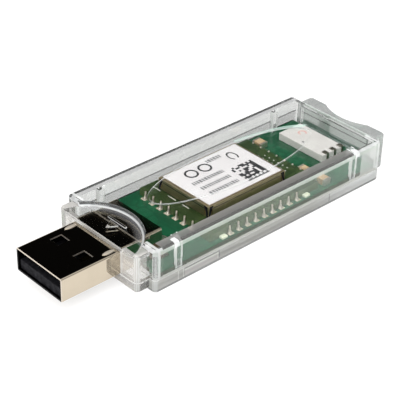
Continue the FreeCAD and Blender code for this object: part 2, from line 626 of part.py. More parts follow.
# Antenna block with three bent terminals at its near end
ANTENNA_TOP = "(%s + Dims.antenna_thick)" % BOARD_TOP
TERMINAL_TOP = "(%s + Dims.terminal_thick)" % ANTENNA_TOP
NEAR_END = "(-Dims.antenna_near)"
TERMINALS = 3
piece(plate("AntennaBlock", (ANTENNA_FRONT, ANTENNA_REAR), (NEAR_END, "Dims.antenna_far"),
            BOARD_TOP, "Dims.antenna_thick"), "antenna_block")
for number in range(TERMINALS):
    start = "(%s + Dims.terminal_first + %d * Dims.terminal_pitch)" % (ANTENNA_FRONT, number)
    end = "(%s + Dims.terminal_bar)" % start
    leg_front = "(%s - Dims.terminal_leg)" % end
    face = "(%s - Dims.terminal_thick)" % NEAR_END
    bar = box("TerminalBar%d" % number, (start, end),
              (NEAR_END, NEAR_END + " + Dims.terminal_depth"), (ANTENNA_TOP, TERMINAL_TOP))
    bend = box("TerminalBend%d" % number, (leg_front, end), (face, NEAR_END),
               (ANTENNA_TOP, TERMINAL_TOP))
    leg = box("TerminalLeg%d" % number, (leg_front, end), (face, NEAR_END),
              (BOARD_TOP, ANTENNA_TOP))
    piece(fuse("Terminal%d" % number, [bar, bend, leg]), "antenna_terminal_%d" % (number + 1))


def small_part(label, datum, bottom):
    """Plain small component, its sizes under its own names in the sheet."""
    start = "(%s + Dims.%s_setback)" % (datum, label)
    side = "Dims.%s_side" % label
    half = "Dims.%s_width / 2" % label
    piece(plate(camel(label), (start, "(%s + Dims.%s_length)" % (start, label)),
                ("%s - %s" % (side, half), "%s + %s" % (side, half)),
                bottom, "Dims.%s_height" % label), label)


for label, *_ in TOP_PARTS:
    small_part(label, MODULE_REAR, BOARD_TOP)
for label, *_ in UNDER_PARTS:
    small_part(label, MODULE_FRONT, "%s - Dims.%s_height" % (BOARD_LOW, label))

# Check every object, then write each piece
doc.recompute()
for obj in doc.Objects:
    if "Invalid" in obj.State or "Error" in obj.State:
        raise RuntimeError("%s failed: %s" % (obj.Name, obj.State))
for obj in PIECES:
    shape = obj.Shape
    if shape.isNull() or not shape.isValid() or len(shape.Solids) != 1:
        raise RuntimeError("%s is not one valid solid" % obj.Label)

os.makedirs("parts", exist_ok=True)
for obj in PIECES:
    obj.Shape.exportStep(os.path.join("parts", obj.Label + ".step"))
    bounds = obj.Shape.BoundBox
    print("%-20s %8.2f mm3  x %6.2f..%6.2f  y %6.2f..%6.2f  z %5.2f..%5.2f" % (
        obj.Label, obj.Shape.Volume, bounds.XMin, bounds.XMax,
        bounds.YMin, bounds.YMax, bounds.ZMin, bounds.ZMax))
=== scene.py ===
"""Looks of a clear USB radio stick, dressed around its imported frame.

Metres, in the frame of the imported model: +X runs from the plug to the rear end,
-Y is the side that faces the camera and +Z is up.
"""

from __future__ import annotations

import logging
import math
from collections.abc import Iterator
from dataclasses import dataclass, field
from enum import Enum
from functools import reduce

import bmesh
import bpy
from mathutils import Euler, Matrix, Vector

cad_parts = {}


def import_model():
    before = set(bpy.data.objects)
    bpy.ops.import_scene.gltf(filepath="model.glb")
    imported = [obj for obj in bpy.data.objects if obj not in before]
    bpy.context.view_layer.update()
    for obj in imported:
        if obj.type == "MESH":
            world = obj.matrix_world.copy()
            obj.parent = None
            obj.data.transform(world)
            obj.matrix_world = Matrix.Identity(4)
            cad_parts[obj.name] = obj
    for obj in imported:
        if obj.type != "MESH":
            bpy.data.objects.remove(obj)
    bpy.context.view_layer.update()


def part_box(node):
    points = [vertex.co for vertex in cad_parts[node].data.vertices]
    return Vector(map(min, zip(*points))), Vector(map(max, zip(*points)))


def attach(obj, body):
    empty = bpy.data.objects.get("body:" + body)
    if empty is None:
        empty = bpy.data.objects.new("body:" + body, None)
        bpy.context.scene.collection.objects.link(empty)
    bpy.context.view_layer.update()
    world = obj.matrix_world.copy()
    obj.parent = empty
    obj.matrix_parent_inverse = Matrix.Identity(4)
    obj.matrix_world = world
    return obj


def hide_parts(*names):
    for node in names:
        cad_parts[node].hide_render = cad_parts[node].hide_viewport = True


LOG = logging.getLogger("radio_stick")
MM = 0.001
ROOT = "root"
SURFACE_LIFT = 0.012 * MM
WELD = 0.0005 * MM
FLAT_ANGLE = math.radians(0.3)
SHARP_ANGLE = math.radians(28.0)
FULL_TURN = 360.0
ARC_STEP = 12.0
LEAST_ARC_STEPS = 6
ANY = math.inf

Colour = tuple[float, float, float]
Span = tuple[float, float]
Triple = tuple[float, float, float]
Box = tuple[Vector, Vector]
Mesh = bmesh.types.BMesh
Socket = bpy.types.NodeSocket


class Slot(Enum):
    """Material slots of the record."""

    CLEAR = "clear_housing"
    STEEL = "plug_steel"
    TONGUE = "tongue_plastic"
    GOLD = "contact_gold"
    BOARD = "board_green"
    TIN = "shield_tin"
    LABEL = "label_white"
    CERAMIC = "antenna_ceramic"
    TERMINAL = "terminal_metal"
    TAN = "capacitor_tan"
    CHIP = "chip_black"


class Side(Enum):
    """The long sides of the stick, by the sign of Y."""

    NEAR = -1
    FAR = 1


# Node trees


class Shader:
    """The node tree of a material or of the world, filled one node at a time."""

    def __init__(self, owner: bpy.types.Material | bpy.types.World) -> None:
        """Empty the owner's node tree.

        Args:
            owner: The new material, or the world.
        """
        owner.use_nodes = True
        self.owner = owner
        self.tree = owner.node_tree
        self.tree.nodes.clear()

    @classmethod
    def named(cls, name: str) -> Shader:
        """The empty tree of a new material."""
        return cls(bpy.data.materials.new(name))

    def add(self, kind: str, settings: dict | None = None, **inputs: object) -> bpy.types.Node:
        """Add a node.

        Args:
            kind: The node's type, without its ShaderNode prefix.
            settings: Properties of the node itself.
            **inputs: Values or output sockets by input name, with _ for a space.

        Returns:
            The new node.
        """
        node = self.tree.nodes.new("ShaderNode" + kind)
        for key, value in (settings or {}).items():
            setattr(node, key, value)
        for key, value in inputs.items():
            self.feed(node.inputs[key.replace("_", " ")], value)
        return node

    def feed(self, socket: Socket, value: object) -> None:
        """Link an output to a socket, or set the socket's own value.

        Args:
            socket: The input that takes it.
            value: An output socket, a number, a vector or a colour.
        """
        if isinstance(value, Socket):
            self.tree.links.new(value, socket)
        elif isinstance(value, tuple) and len(value) == 3 and socket.type == "RGBA":
            socket.default_value = (*value, 1.0)
        else:
            socket.default_value = value

    def fill(self, kind: str, settings: dict, values: dict[int | str, object]) -> bpy.types.Node:
        """Add a node whose inputs are given by index or by name.

        Args:
            kind: The node's type, without its ShaderNode prefix.
            settings: Properties of the node itself.
            values: Values or output sockets by the input's index or name.

        Returns:
            The new node.
        """
        node = self.add(kind, settings)
        for key, value in values.items():
            self.feed(node.inputs[key], value)
        return node

    def place(self, scale: float | Triple = 1.0) -> Socket:
        """Object coordinates, times a scale.

        Args:
            scale: One factor, or one for each axis.

        Returns:
            The scaled coordinates.
        """
        scales = scale if isinstance(scale, tuple) else (scale, scale, scale)
        coordinates = self.add("TexCoord").outputs["Object"]
        return self.add("Mapping", Vector=coordinates, Scale=scales).outputs[0]

    def axes(self, vector: Socket) -> list[Socket]:
        """The three parts of a vector."""
        return list(self.add("SeparateXYZ", Vector=vector).outputs)

    def facing(self) -> list[Socket]:
        """The three parts of the surface's normal."""
        return self.axes(self.add("NewGeometry").outputs["Normal"])

    def noise(self, scale: float | Triple, detail: float) -> Socket:
        """Noise from 0 to 1 over Object coordinates, with scale cells a metre."""
        return self.add("TexNoise", Vector=self.place(scale), Scale=1.0, Detail=detail).outputs[0]

    def math(self, operation: str, first: object, second: object = 0.0) -> Socket:
        """One arithmetic step."""
        return self.fill("Math", {"operation": operation}, {0: first, 1: second}).outputs[0]

    def size(self, value: object) -> Socket:
        """A value without its sign."""
        return self.math("ABSOLUTE", value)

    def both(self, *masks: object) -> Socket:
        """Product of masks."""
        return reduce(lambda first, second: self.math("MULTIPLY", first, second), masks)

    def either(self, first: object, second: object) -> Socket:
        """The larger of two masks."""
        return self.math("MAXIMUM", first, second)

    def off(self, mask: object) -> Socket:
        """One where a mask is nought, and nought where it is one."""
        return self.math("SUBTRACT", 1.0, mask)

    def over(self, value: object, low: float) -> Socket:
        """One where a value lies over a bound, and nought elsewhere."""
        return self.math("GREATER_THAN", value, low)

    def under(self, value: object, high: float) -> Socket:
        """One where a value lies under a bound, and nought elsewhere."""
        return self.math("LESS_THAN", value, high)

    def within(self, value: object, low: float, high: float) -> Socket:
        """One where a value lies between two bounds, and nought elsewhere.

        Args:
            value: What is compared.
            low: The lower bound, or minus ANY.
            high: The upper bound, or ANY.

        Returns:
            The mask.
        """
        if low == -ANY:
            return self.under(value, high)
        if high == ANY:
            return self.over(value, low)
        return self.both(self.over(value, low), self.under(value, high))

    def ramp(self, factor: object, low: float, high: float, start: object = 0.0,
             end: object = 1.0) -> Socket:
        """Map a factor's range low to high onto start to end, clamped."""
        return self.fill("MapRange", {}, {"Value": factor, "From Min": low, "From Max": high,
                                          "To Min": start, "To Max": end}).outputs[0]

    def mix(self, factor: object, first: object, second: object) -> Socket:
        """Mix two colours, by the node's sockets for colours."""
        return self.fill("Mix", {"data_type": "RGBA"}, {0: factor, 6: first, 7: second}).outputs[2]

    def blend(self, share: object, first: Socket, second: Socket) -> Socket:
        """Mix two shaders, by the second one's share."""
        return self.fill("MixShader", {}, {0: share, 1: first, 2: second}).outputs[0]

    def bump(self, height: object, distance: float) -> Socket:
        """Bump from a height, its distance in metres."""
        return self.add("Bump", Height=height, Distance=distance, Strength=1.0).outputs[0]

    def principled(self, **inputs: object) -> Socket:
        """A Principled shader."""
        return self.add("BsdfPrincipled", **inputs).outputs[0]

    def finish(self, surface: Socket, output: str = "OutputMaterial") -> bpy.types.ID:
        """Link the surface to the output and return the material or the world."""
        self.add(output, Surface=surface)
        return self.owner


def shaded(colour: Colour, share: float) -> Colour:
    """A colour made darker."""
    return tuple(share * part for part in colour)


class Mask(Enum):
    """Masks on the housing that its milky places and its painted highlights and shade share."""

    BODY = "between the two ends"
    FRONT = "plug end"
    REAR = "rear end"
    NEAR = "near wall"
    LEVEL = "level faces"
    STEEP = "all but level faces"
    EDGE = "rounded edges and sloping faces"
    FACING_FAR = "turned to the far side"
    REARWARD = "fades in towards the rear"
    FOOT = "lowest part"
    RAIL_FADE = "painted shade deepens across the near top"
    LIP = "upper part of the recess's edge"
    GLOW = "fades in from the recess's middle"
    PILLAR = "painted highlight streaks on the near front corner"


@dataclass(frozen=True)
class Ring:
    """An oval band in the top view, in millimetres, with its reach in halves."""

    middle: Span
    halves: Span
    reach: Span


@dataclass(frozen=True)
class Zone:
    """A milky place on the housing, which often carries painted highlight and shade, with its bounds in
    millimetres.

    It lies where all of its masks and bounds agree. Side is Y without its sign. Where
    stations are given, x is the distance from the nearest of them. Tones are further
    colours, each laid over the last by its mask.
    """

    name: str
    veil: float
    colour: Colour
    on: tuple[Mask, ...] = ()
    x: Span | None = None
    y: Span | None = None
    z: Span | None = None
    side: Span | None = None
    stations: tuple[float, ...] = ()
    ring: Ring | None = None
    tones: tuple[tuple[Mask, Colour], ...] = ()


BODY_MIDDLE = 5.55
SEAM_HEIGHT = 2.44
JOINT_HEIGHTS = (SEAM_HEIGHT, 2.76)
SHOULDER = 7.35
TOP_HEIGHT = 8.08
# Y where the near wall begins, and the X span of the painted shade along the near wall.
NEAR_WALL_LINE = -11.0
NEAR_WALL_STATIONS = (-20.3, 25.6)
SLOT_STATIONS = (-15.6, -7.9)
SLOT_HEIGHTS = (0.95, 2.15)
ARM_STATIONS = (-16.15, 26.45)
ARM_SIDES = (9.3, 10.12)
LEDGE_SIDES = (10.05, 10.3)
POCKET_WALL = (33.3, 33.6)
POCKET_SIDES = (-ANY, 10.1)
RECESS_STATIONS = (-21.9, -17.2)
RECESS_MIDDLE = (-27.4, 0.0)
END_GREY = (0.62, 0.6, 0.575)
MILK = (0.5, 0.5, 0.5)
# Pale grey of the painted highlights on the housing.
HIGHLIGHT_WHITE = (0.78, 0.79, 0.785)
SEAM_GREY = (0.42, 0.43, 0.4)
FOOT_GREY = (0.17, 0.172, 0.17)
LEDGE_GREY = (0.1, 0.105, 0.1)

# Each zone lies over the ones before it
ZONES = (
    Zone("plug end", 0.32, END_GREY, (Mask.FRONT, Mask.STEEP)),
    Zone("clear collar", 0.08, END_GREY, (Mask.FRONT, Mask.STEEP), y=(-ANY, -10.0)),
    Zone("collar edge", 0.32, END_GREY, (Mask.FRONT, Mask.STEEP), x=(-ANY, -23.95), y=(-ANY, -10.0)),
    Zone("rear of the near wall", 0.5, (0.5, 0.52, 0.5), (Mask.NEAR, Mask.BODY), x=(27.6, 33.3)),
    Zone("top of the plug end", 0.35, END_GREY, (Mask.FRONT,), z=(7.7, 7.95)),
    Zone("rear end", 0.36, (0.4, 0.41, 0.405), (Mask.REAR,)),
    # Painted shade: the lower wall is darker grey, lighter towards the rear and darkest at the foot,
    # like a contact shadow.
    Zone("lower wall", 0.65, (0.29, 0.29, 0.275), (Mask.STEEP, Mask.BODY), z=(-ANY, SEAM_HEIGHT),
         tones=((Mask.REARWARD, (0.46, 0.47, 0.465)), (Mask.FOOT, FOOT_GREY))),
    # Painted highlight on the rounded top edges, with painted shade where they face the far side.
    Zone("top edges", 0.55, (0.6, 0.61, 0.61), (Mask.EDGE, Mask.BODY), z=(SHOULDER, ANY),
         tones=((Mask.FACING_FAR, (0.42, 0.425, 0.43)),)),
    # Painted highlight: a pale green band along the near top.
    Zone("near line", 0.5, (0.5, 0.55, 0.5), (Mask.NEAR, Mask.BODY), z=(SHOULDER, TOP_HEIGHT)),
    # Painted shade: a faint dark green laid over the middle of the near wall.
    Zone("painted green shade of the near wall", 0.13, (0.01, 0.07, 0.025), (Mask.NEAR,), x=NEAR_WALL_STATIONS,
         z=(2.8, SHOULDER)),
    Zone("seam", 0.65, SEAM_GREY, (Mask.NEAR, Mask.BODY), z=(2.45, 3.1)),
    Zone("border of the slot", 0.65, FOOT_GREY, (Mask.NEAR,), x=(-15.88, -7.62), z=(0.95, 2.43)),
    Zone("slot", 0.65, (0.37, 0.36, 0.35), (Mask.NEAR,), x=SLOT_STATIONS, z=SLOT_HEIGHTS),
    Zone("stripes", 0.65, SEAM_GREY, (Mask.NEAR,), x=(0.45, 0.7), z=(0.7, SEAM_HEIGHT),
         stations=(-16.4,)),
    Zone("rear end of the slot", 0.7, SEAM_GREY, (Mask.NEAR,), x=(-8.18, -7.9), z=SLOT_HEIGHTS),
    Zone("top of the slot", 0.7, SEAM_GREY, (Mask.NEAR,), x=SLOT_STATIONS, z=(1.87, 2.15)),
    Zone("rib", 0.65, FOOT_GREY, (Mask.NEAR,), x=(19.42, 19.62), z=(-ANY, SEAM_HEIGHT)),
    Zone("joint", 0.4, (0.05, 0.05, 0.05), (Mask.LEVEL,), z=JOINT_HEIGHTS),
    # Painted highlight on the rounded edge of the joint.
    Zone("edge of the joint", 0.7, HIGHLIGHT_WHITE, (Mask.EDGE,), z=JOINT_HEIGHTS),
    # Painted highlights on the snap arms, faint over the arms and strong on their edges.
    Zone("snap arms", 0.12, HIGHLIGHT_WHITE, x=(-ANY, 0.72), side=ARM_SIDES, stations=ARM_STATIONS),
    Zone("edges of the arms", 0.7, HIGHLIGHT_WHITE, x=(0.5, 0.72), side=ARM_SIDES, stations=ARM_STATIONS),
    # Painted shade: the near top strip is dark grey, darker towards its outer edge.
    Zone("painted shade of the near top", 0.75, (0.2, 0.19, 0.185), x=NEAR_WALL_STATIONS, y=(-11.53, -9.5), z=(TOP_HEIGHT, ANY),
         tones=((Mask.RAIL_FADE, (0.12, 0.118, 0.115)), (Mask.NEAR, (0.08, 0.078, 0.076)))),
    Zone("far strip", 0.5, MILK, (Mask.BODY,), y=(9.6, 11.5), z=(TOP_HEIGHT, ANY)),
    # Painted shade: a dark line along the far top edge.
    Zone("far line", 0.36, (0.07, 0.07, 0.072), (Mask.BODY,), y=(10.5, 11.7), z=(TOP_HEIGHT, ANY)),
    # Painted shade: a dark line on the far ledge and a fainter dark veil on the wall under it.
    Zone("ledge", 0.7, LEDGE_GREY, (Mask.BODY,), y=LEDGE_SIDES, z=(4.85, 5.15)),
    Zone("under the ledge", 0.32, LEDGE_GREY, (Mask.BODY,), y=LEDGE_SIDES, z=(2.76, 4.85)),
    Zone("pocket wall", 0.55, (0.47, 0.53, 0.49), x=POCKET_WALL, side=POCKET_SIDES),
    # Painted shade: darker green at the foot of the pocket wall.
    Zone("pocket foot", 0.65, (0.13, 0.25, 0.19), x=POCKET_WALL, side=POCKET_SIDES, z=(-ANY, 3.5)),
    Zone("pocket line", 0.65, (0.12, 0.13, 0.12), x=POCKET_WALL, side=POCKET_SIDES, z=(4.9, 5.15)),
    # Painted shade on the sloping edge of the recess, darkest in a band at the lip.
    Zone("edge of the recess", 0.55, (0.28, 0.29, 0.3), (Mask.STEEP,), x=RECESS_STATIONS,
         z=(SHOULDER, ANY), ring=Ring(RECESS_MIDDLE, (1.0, 1.0), (9.8, 10.4)),
         tones=((Mask.LIP, (0.04, 0.042, 0.045)),)),
    # Painted glow: a pale veil on the recess floor that grows towards its rim.
    Zone("floor of the recess", 0.22, (0.36, 0.36, 0.39), (Mask.LEVEL, Mask.GLOW), x=RECESS_STATIONS,
         z=(SHOULDER, 7.86)),
    # Painted highlight streaks on the near front corner.
    Zone("painted corner streaks", 0.5, (0.6, 0.62, 0.61), (Mask.PILLAR,), x=(-24.9, -20.8), y=(-ANY, -9.3)),
    # Painted highlight: a pale green band over the far rear of the oval line.
    Zone("far rear of the oval", 0.5, (0.42, 0.56, 0.5), (Mask.LEVEL,), x=(12.0, ANY), y=(1.5, ANY),
         z=(TOP_HEIGHT, ANY), ring=Ring((6.4, 0.3), (19.2, 5.6), (0.985, 1.09))),
    # Painted highlights: white loops at the near corners, bands at the near ends and a band at the far
    # front.
    Zone("corner loops", 0.55, HIGHLIGHT_WHITE, x=(-ANY, 0.5), y=(-ANY, -10.2), z=(SHOULDER, ANY),
         stations=(-17.3, 26.5)),
    Zone("near end bands", 0.45, HIGHLIGHT_WHITE, x=(26.46, 26.95), y=(-ANY, -8.2), z=(2.76, ANY),
         stations=(BODY_MIDDLE,)),
    Zone("far front band", 0.45, HIGHLIGHT_WHITE, x=(-21.4, -20.91), y=(8.2, ANY), z=(2.76, ANY)),
)


@dataclass
class Veils:
    """How milky each place of the housing is, and in which colour, in millimetres; many of the colours
    are painted highlights and shade.
    """

    shader: Shader
    least_veil: float = 0.03
    body_half: float = 27.7
    level_turn: Span = (0.95, 0.99)
    edge_turn: Span = (0.05, 0.2)
    far_turn: Span = (-0.2, 0.2)
    # The corner turn and the streak settings below shape the painted highlight streaks on the near front
    # corner.
    corner_turn: Span = (-0.15, -0.35)
    streaks: float = 24.0
    streak_turn: Span = (-0.6, 0.9)
    streak_shares: Span = (0.25, 1.0)
    rear_stations: Span = (14.0, 29.0)
    foot_height: float = 0.7
    # Across these sides the painted shade on the near top deepens.
    shade_sides: Span = (-9.5, NEAR_WALL_LINE)
    lip_heights: Span = (7.86, 8.3)
    glow_ring: Ring = Ring(RECESS_MIDDLE, (1.0, 1.0), (8.0, 10.0))

    def __post_init__(self) -> None:
        """Read the place and make the masks."""
        self.x, self.y, self.z = self.shader.axes(self.shader.place())
        self.side = self.shader.size(self.y)
        self.masks = self.shared_masks()

    def shared_masks(self) -> dict[Mask, Socket]:
        """Make the masks that the zones name.

        Returns:
            Each mask's output socket.
        """
        shader = self.shader
        turned_x, turned_y, turned_z = shader.facing()
        body = shader.under(self.off_stations((BODY_MIDDLE,)), self.body_half * MM)
        ends = shader.off(body)
        upright = shader.size(turned_z)
        level = shader.ramp(upright, *self.level_turn)
        steep = shader.off(level)
        # A wave across the normal that makes the painted highlight streaks on the near front corner.
        streak = shader.math("SINE", shader.math("MULTIPLY", turned_x, self.streaks))
        return {
            Mask.BODY: body,
            Mask.FRONT: shader.both(ends, shader.under(self.x, 0.0)),
            Mask.REAR: shader.both(ends, shader.over(self.x, 0.0)),
            Mask.NEAR: shader.under(self.y, NEAR_WALL_LINE * MM),
            Mask.LEVEL: level,
            Mask.STEEP: steep,
            Mask.EDGE: shader.both(shader.ramp(upright, *self.edge_turn), steep),
            Mask.FACING_FAR: shader.ramp(turned_y, *self.far_turn),
            Mask.REARWARD: shader.ramp(self.x, *self.metres(self.rear_stations)),
            Mask.FOOT: shader.under(self.z, self.foot_height * MM),
            Mask.RAIL_FADE: shader.ramp(self.y, *self.metres(self.shade_sides)),
            Mask.LIP: shader.within(self.z, *self.metres(self.lip_heights)),
            Mask.GLOW: shader.ramp(self.off_middle(self.glow_ring), *self.glow_ring.reach),
            Mask.PILLAR: shader.both(
                shader.ramp(turned_x, *self.corner_turn), shader.ramp(turned_y, *self.corner_turn),
                shader.ramp(streak, *self.streak_turn, *self.streak_shares)),
        }

    @staticmethod
    def metres(span: Span) -> Span:
        """A span in millimetres, in metres."""
        return tuple(bound * MM for bound in span)

    def off_stations(self, stations: tuple[float, ...]) -> Socket:
        """Distance along X from the nearest of some stations."""
        distances = (self.shader.size(self.shader.math("SUBTRACT", self.x, station * MM))
                     for station in stations)
        return reduce(lambda first, second: self.shader.math("MINIMUM", first, second), distances)

    def off_middle(self, ring: Ring) -> Socket:
        """Distance from a ring's middle in the top view, in halves.

        Args:
            ring: The ring, whose reach isn't read.

        Returns:
            The distance, 1 on the oval that has the ring's halves.
        """
        shader = self.shader
        squares = []
        for value, middle, half in zip((self.x, self.y), ring.middle, ring.halves):
            part = shader.math("DIVIDE", shader.math("SUBTRACT", value, middle * MM), half * MM)
            squares.append(shader.math("POWER", part, 2.0))
        return shader.math("SQRT", shader.math("ADD", *squares))

    def mask_of(self, zone: Zone) -> Socket:
        """Product of the masks and bounds of a zone.

        Args:
            zone: The milky place.

        Returns:
            One in the zone and nought outside it.
        """
        x = self.off_stations(zone.stations) if zone.stations else self.x
        parts = [self.masks[mask] for mask in zone.on]
        for value, span in ((x, zone.x), (self.y, zone.y), (self.z, zone.z), (self.side, zone.side)):
            if span:
                parts.append(self.shader.within(value, *self.metres(span)))
        if zone.ring:
            parts.append(self.shader.within(self.off_middle(zone.ring), *zone.ring.reach))
        return self.shader.both(*parts)

    def build(self) -> tuple[Socket, Socket]:
        """Lay the zones over each other.

        Returns:
            The veil's share from 0 to 1, and its colour.
        """
        share: object = self.shader.both(self.masks[Mask.STEEP], self.least_veil)
        colour: object = MILK
        for zone in ZONES:
            mask = self.mask_of(zone)
            shade: object = zone.colour
            for name, tone in zone.tones:
                shade = self.shader.mix(self.masks[name], shade, tone)
            share = self.shader.ramp(mask, 0.0, 1.0, share, zone.veil)
            colour = self.shader.mix(mask, colour, shade)
            colour.node.label = zone.name
        return share, colour


@dataclass(frozen=True)
class ClearPlastic:
    """Polished clear polycarbonate with faint flow lines and slightly milky edges, whose veil also holds
    painted highlights and shade.
    """

    tint: Colour = (0.885, 0.89, 0.885)
    index: float = 1.57
    roughness: float = 0.015
    flow_scale: Triple = (60.0, 160.0, 160.0)
    flow_depth: float = 0.002 * MM

    def material(self) -> bpy.types.Material:
        """Glass that lets lamps through to what it holds, with a veil on its edges that holds painted
        highlights and shade.

        Returns:
            The material.
        """
        shader = Shader.named("clear_plastic")
        flow = shader.bump(shader.noise(self.flow_scale, detail=1.0), self.flow_depth)
        glass = shader.principled(
            Base_Color=self.tint, Roughness=self.roughness, IOR=self.index,
            Transmission_Weight=1.0, Normal=flow)
        share, colour = Veils(shader).build()
        solid = shader.blend(share, glass, shader.add("BsdfDiffuse", Color=colour).outputs[0])
        path = shader.add("LightPath")
        through = shader.add("BsdfTransparent", Color=self.tint).outputs[0]
        for ray in ("Is Diffuse Ray", "Is Shadow Ray"):
            solid = shader.blend(path.outputs[ray], solid, through)
        return shader.finish(solid)


@dataclass(frozen=True)
class Metal:
    """Bare metal with drawn streaks and slight unevenness."""

    name: str
    colour: Colour
    roughness: Span = (0.1, 0.2)
    streaks: Triple = (200.0, 4000.0, 4000.0)
    depth: float = 0.002 * MM
    streak_edges: Span = (0.2, 0.8)
    stains: float = 300.0
    stain_shade: float = 0.86

    def material(self) -> bpy.types.Material:
        """Metallic shader with streaked roughness and bump.

        Returns:
            The material.
        """
        shader = Shader.named(self.name)
        streak = shader.noise(self.streaks, detail=3.0)
        shade = shader.mix(shader.noise(self.stains, detail=3.0),
                           shaded(self.colour, self.stain_shade), self.colour)
        return shader.finish(shader.principled(
            Base_Color=shade, Metallic=1.0,
            Roughness=shader.ramp(streak, *self.streak_edges, *self.roughness),
            Normal=shader.bump(streak, self.depth)))


@dataclass(frozen=True)
class PlugSheet:
    """Bright plated sheet, with painted shade inside the plug and on the cut front edge, which is also
    bare unpolished metal, and painted highlights on the edge's top and near strips and on the dimples.
    """

    colour: Colour = (0.62, 0.54, 0.425)
    # Painted shade inside the plug and on the cut front edge, which is bare unpolished metal too.
    dull_shade: Colour = (0.01, 0.01, 0.011)
    dull_roughness: float = 0.4
    rim: Colour = (0.5, 0.46, 0.41)
    rim_roughness: float = 0.6
    # Painted highlight on the cut edge's top and near strips and on the dimples.
    bright: Colour = (0.72, 0.65, 0.56)
    roughness: Span = (0.008, 0.018)
    streaks: Triple = (200.0, 4000.0, 4000.0)
    streak_edges: Span = (0.2, 0.8)
    stains: float = 300.0
    stain_shade: float = 0.9
    depth: float = 0.001 * MM
    inner_side: float = 5.72 * MM
    inner_heights: Span = (2.63 * MM, 6.57 * MM)
    mouth: float = -36.4 * MM
    cut_turn: Span = (-0.9, -0.98)
    upright_turn: float = 0.5
    highlight_height: float = 6.55 * MM
    highlight_side: float = -5.7 * MM
    dimple_height: float = 6.935 * MM

    def material(self) -> bpy.types.Material:
        """Metal whose colour follows the place on the sheet.

        Returns:
            The material.
        """
        shader = Shader.named("plug_sheet")
        lit, dull_shade, hole = self.masks(shader)
        streak = shader.noise(self.streaks, detail=3.0)
        sheet = shader.mix(shader.noise(self.stains, detail=3.0),
                           shaded(self.colour, self.stain_shade), self.colour)
        # Painted shade, rough hole sides and painted highlights laid over the sheet.
        for mask, colour in ((dull_shade, self.dull_shade), (hole, self.rim), (lit, self.bright)):
            sheet = shader.mix(mask, sheet, colour)
        polish = shader.ramp(streak, *self.streak_edges, *self.roughness)
        polish = shader.ramp(shader.either(hole, lit), 0.0, 1.0, polish, self.rim_roughness)
        return shader.finish(shader.principled(
            Base_Color=sheet, Metallic=1.0,
            Roughness=shader.either(polish, shader.both(dull_shade, self.dull_roughness)),
            Normal=shader.bump(streak, self.depth)))

    def masks(self, shader: Shader) -> tuple[Socket, Socket, Socket]:
        """Where the sheet gets painted highlights, where painted shade, and where it is the cut side of
        a hole.

        Args:
            shader: The tree that takes the nodes.

        Returns:
            The masks of the painted highlights on the rim and dimples, of the painted shade inside and
            on the rest of the cut edge, and of the holes.
        """
        x, y, z = shader.axes(shader.place())
        turned_x, _, turned_z = shader.facing()
        side = shader.under(shader.size(y), self.inner_side)
        inside = shader.both(side, shader.within(z, *self.inner_heights))
        cut = shader.both(shader.ramp(turned_x, *self.cut_turn), shader.under(x, self.mouth))
        # Painted highlight on the top and near strips of the cut edge and on the dimples.
        lit = shader.both(cut, shader.either(shader.over(z, self.highlight_height),
                                             shader.under(y, self.highlight_side)))
        lit = shader.either(lit, shader.over(z, self.dimple_height))
        # Painted shade inside the plug and on the rest of the cut edge.
        dull_shade = shader.either(inside, shader.math("SUBTRACT", cut, lit))
        hole = shader.both(shader.under(shader.size(turned_z), self.upright_turn), side,
                           shader.off(dull_shade))
        return lit, dull_shade, hole


@dataclass(frozen=True)
class SolderMask:
    """Lacquered circuit board: two greens over copper, buried tracks and the weave."""

    name: str
    mask: Colour
    over_copper: Colour
    edge: Colour = (0.05, 0.06, 0.03)
    tracks: float = 420.0
    track_edges: Span = (0.05, 0.09)
    planes: float = 160.0
    plane_edges: Span = (0.48, 0.52)
    weave: float = 2600.0
    weave_waver: float = 0.6
    weave_share: float = 0.15
    stains: float = 900.0
    stain_edges: Span = (0.35, 0.8)
    stain_share: float = 0.35
    stain_shade: float = 0.55
    face_turn: Span = (0.4, 0.6)
    roughness: float = 0.28
    coat: float = 0.4
    coat_roughness: float = 0.12
    depth: float = 0.008 * MM

    def material(self) -> bpy.types.Material:
        """Green lacquer on top and below, bare laminate on the cut edges.

        Returns:
            The material.
        """
        shader = Shader.named(self.name)
        cells = shader.add("TexVoronoi", {"feature": "DISTANCE_TO_EDGE", "distance": "CHEBYCHEV"},
                           Vector=shader.place(self.tracks), Scale=1.0)
        copper = shader.both(shader.ramp(cells.outputs["Distance"], *self.track_edges),
                             shader.ramp(shader.noise(self.planes, detail=0.0), *self.plane_edges))
        weave = shader.add("TexWave", {"bands_direction": "DIAGONAL"}, Vector=shader.place(self.weave),
                           Scale=1.0, Distortion=self.weave_waver).outputs[1]
        green = shader.mix(copper, self.mask, self.over_copper)
        stain = shader.ramp(shader.noise(self.stains, detail=4.0), *self.stain_edges,
                            0.0, self.stain_share)
        green = shader.mix(stain, green, shaded(self.mask, self.stain_shade))
        face = shader.ramp(shader.size(shader.facing()[2]), *self.face_turn)
        height = shader.math("ADD", shader.math("MULTIPLY", weave, self.weave_share), copper)
        return shader.finish(shader.principled(
            Base_Color=shader.mix(face, self.edge, green),
            Roughness=self.roughness, Coat_Weight=self.coat, Coat_Roughness=self.coat_roughness,
            Normal=shader.bump(height, self.depth)))


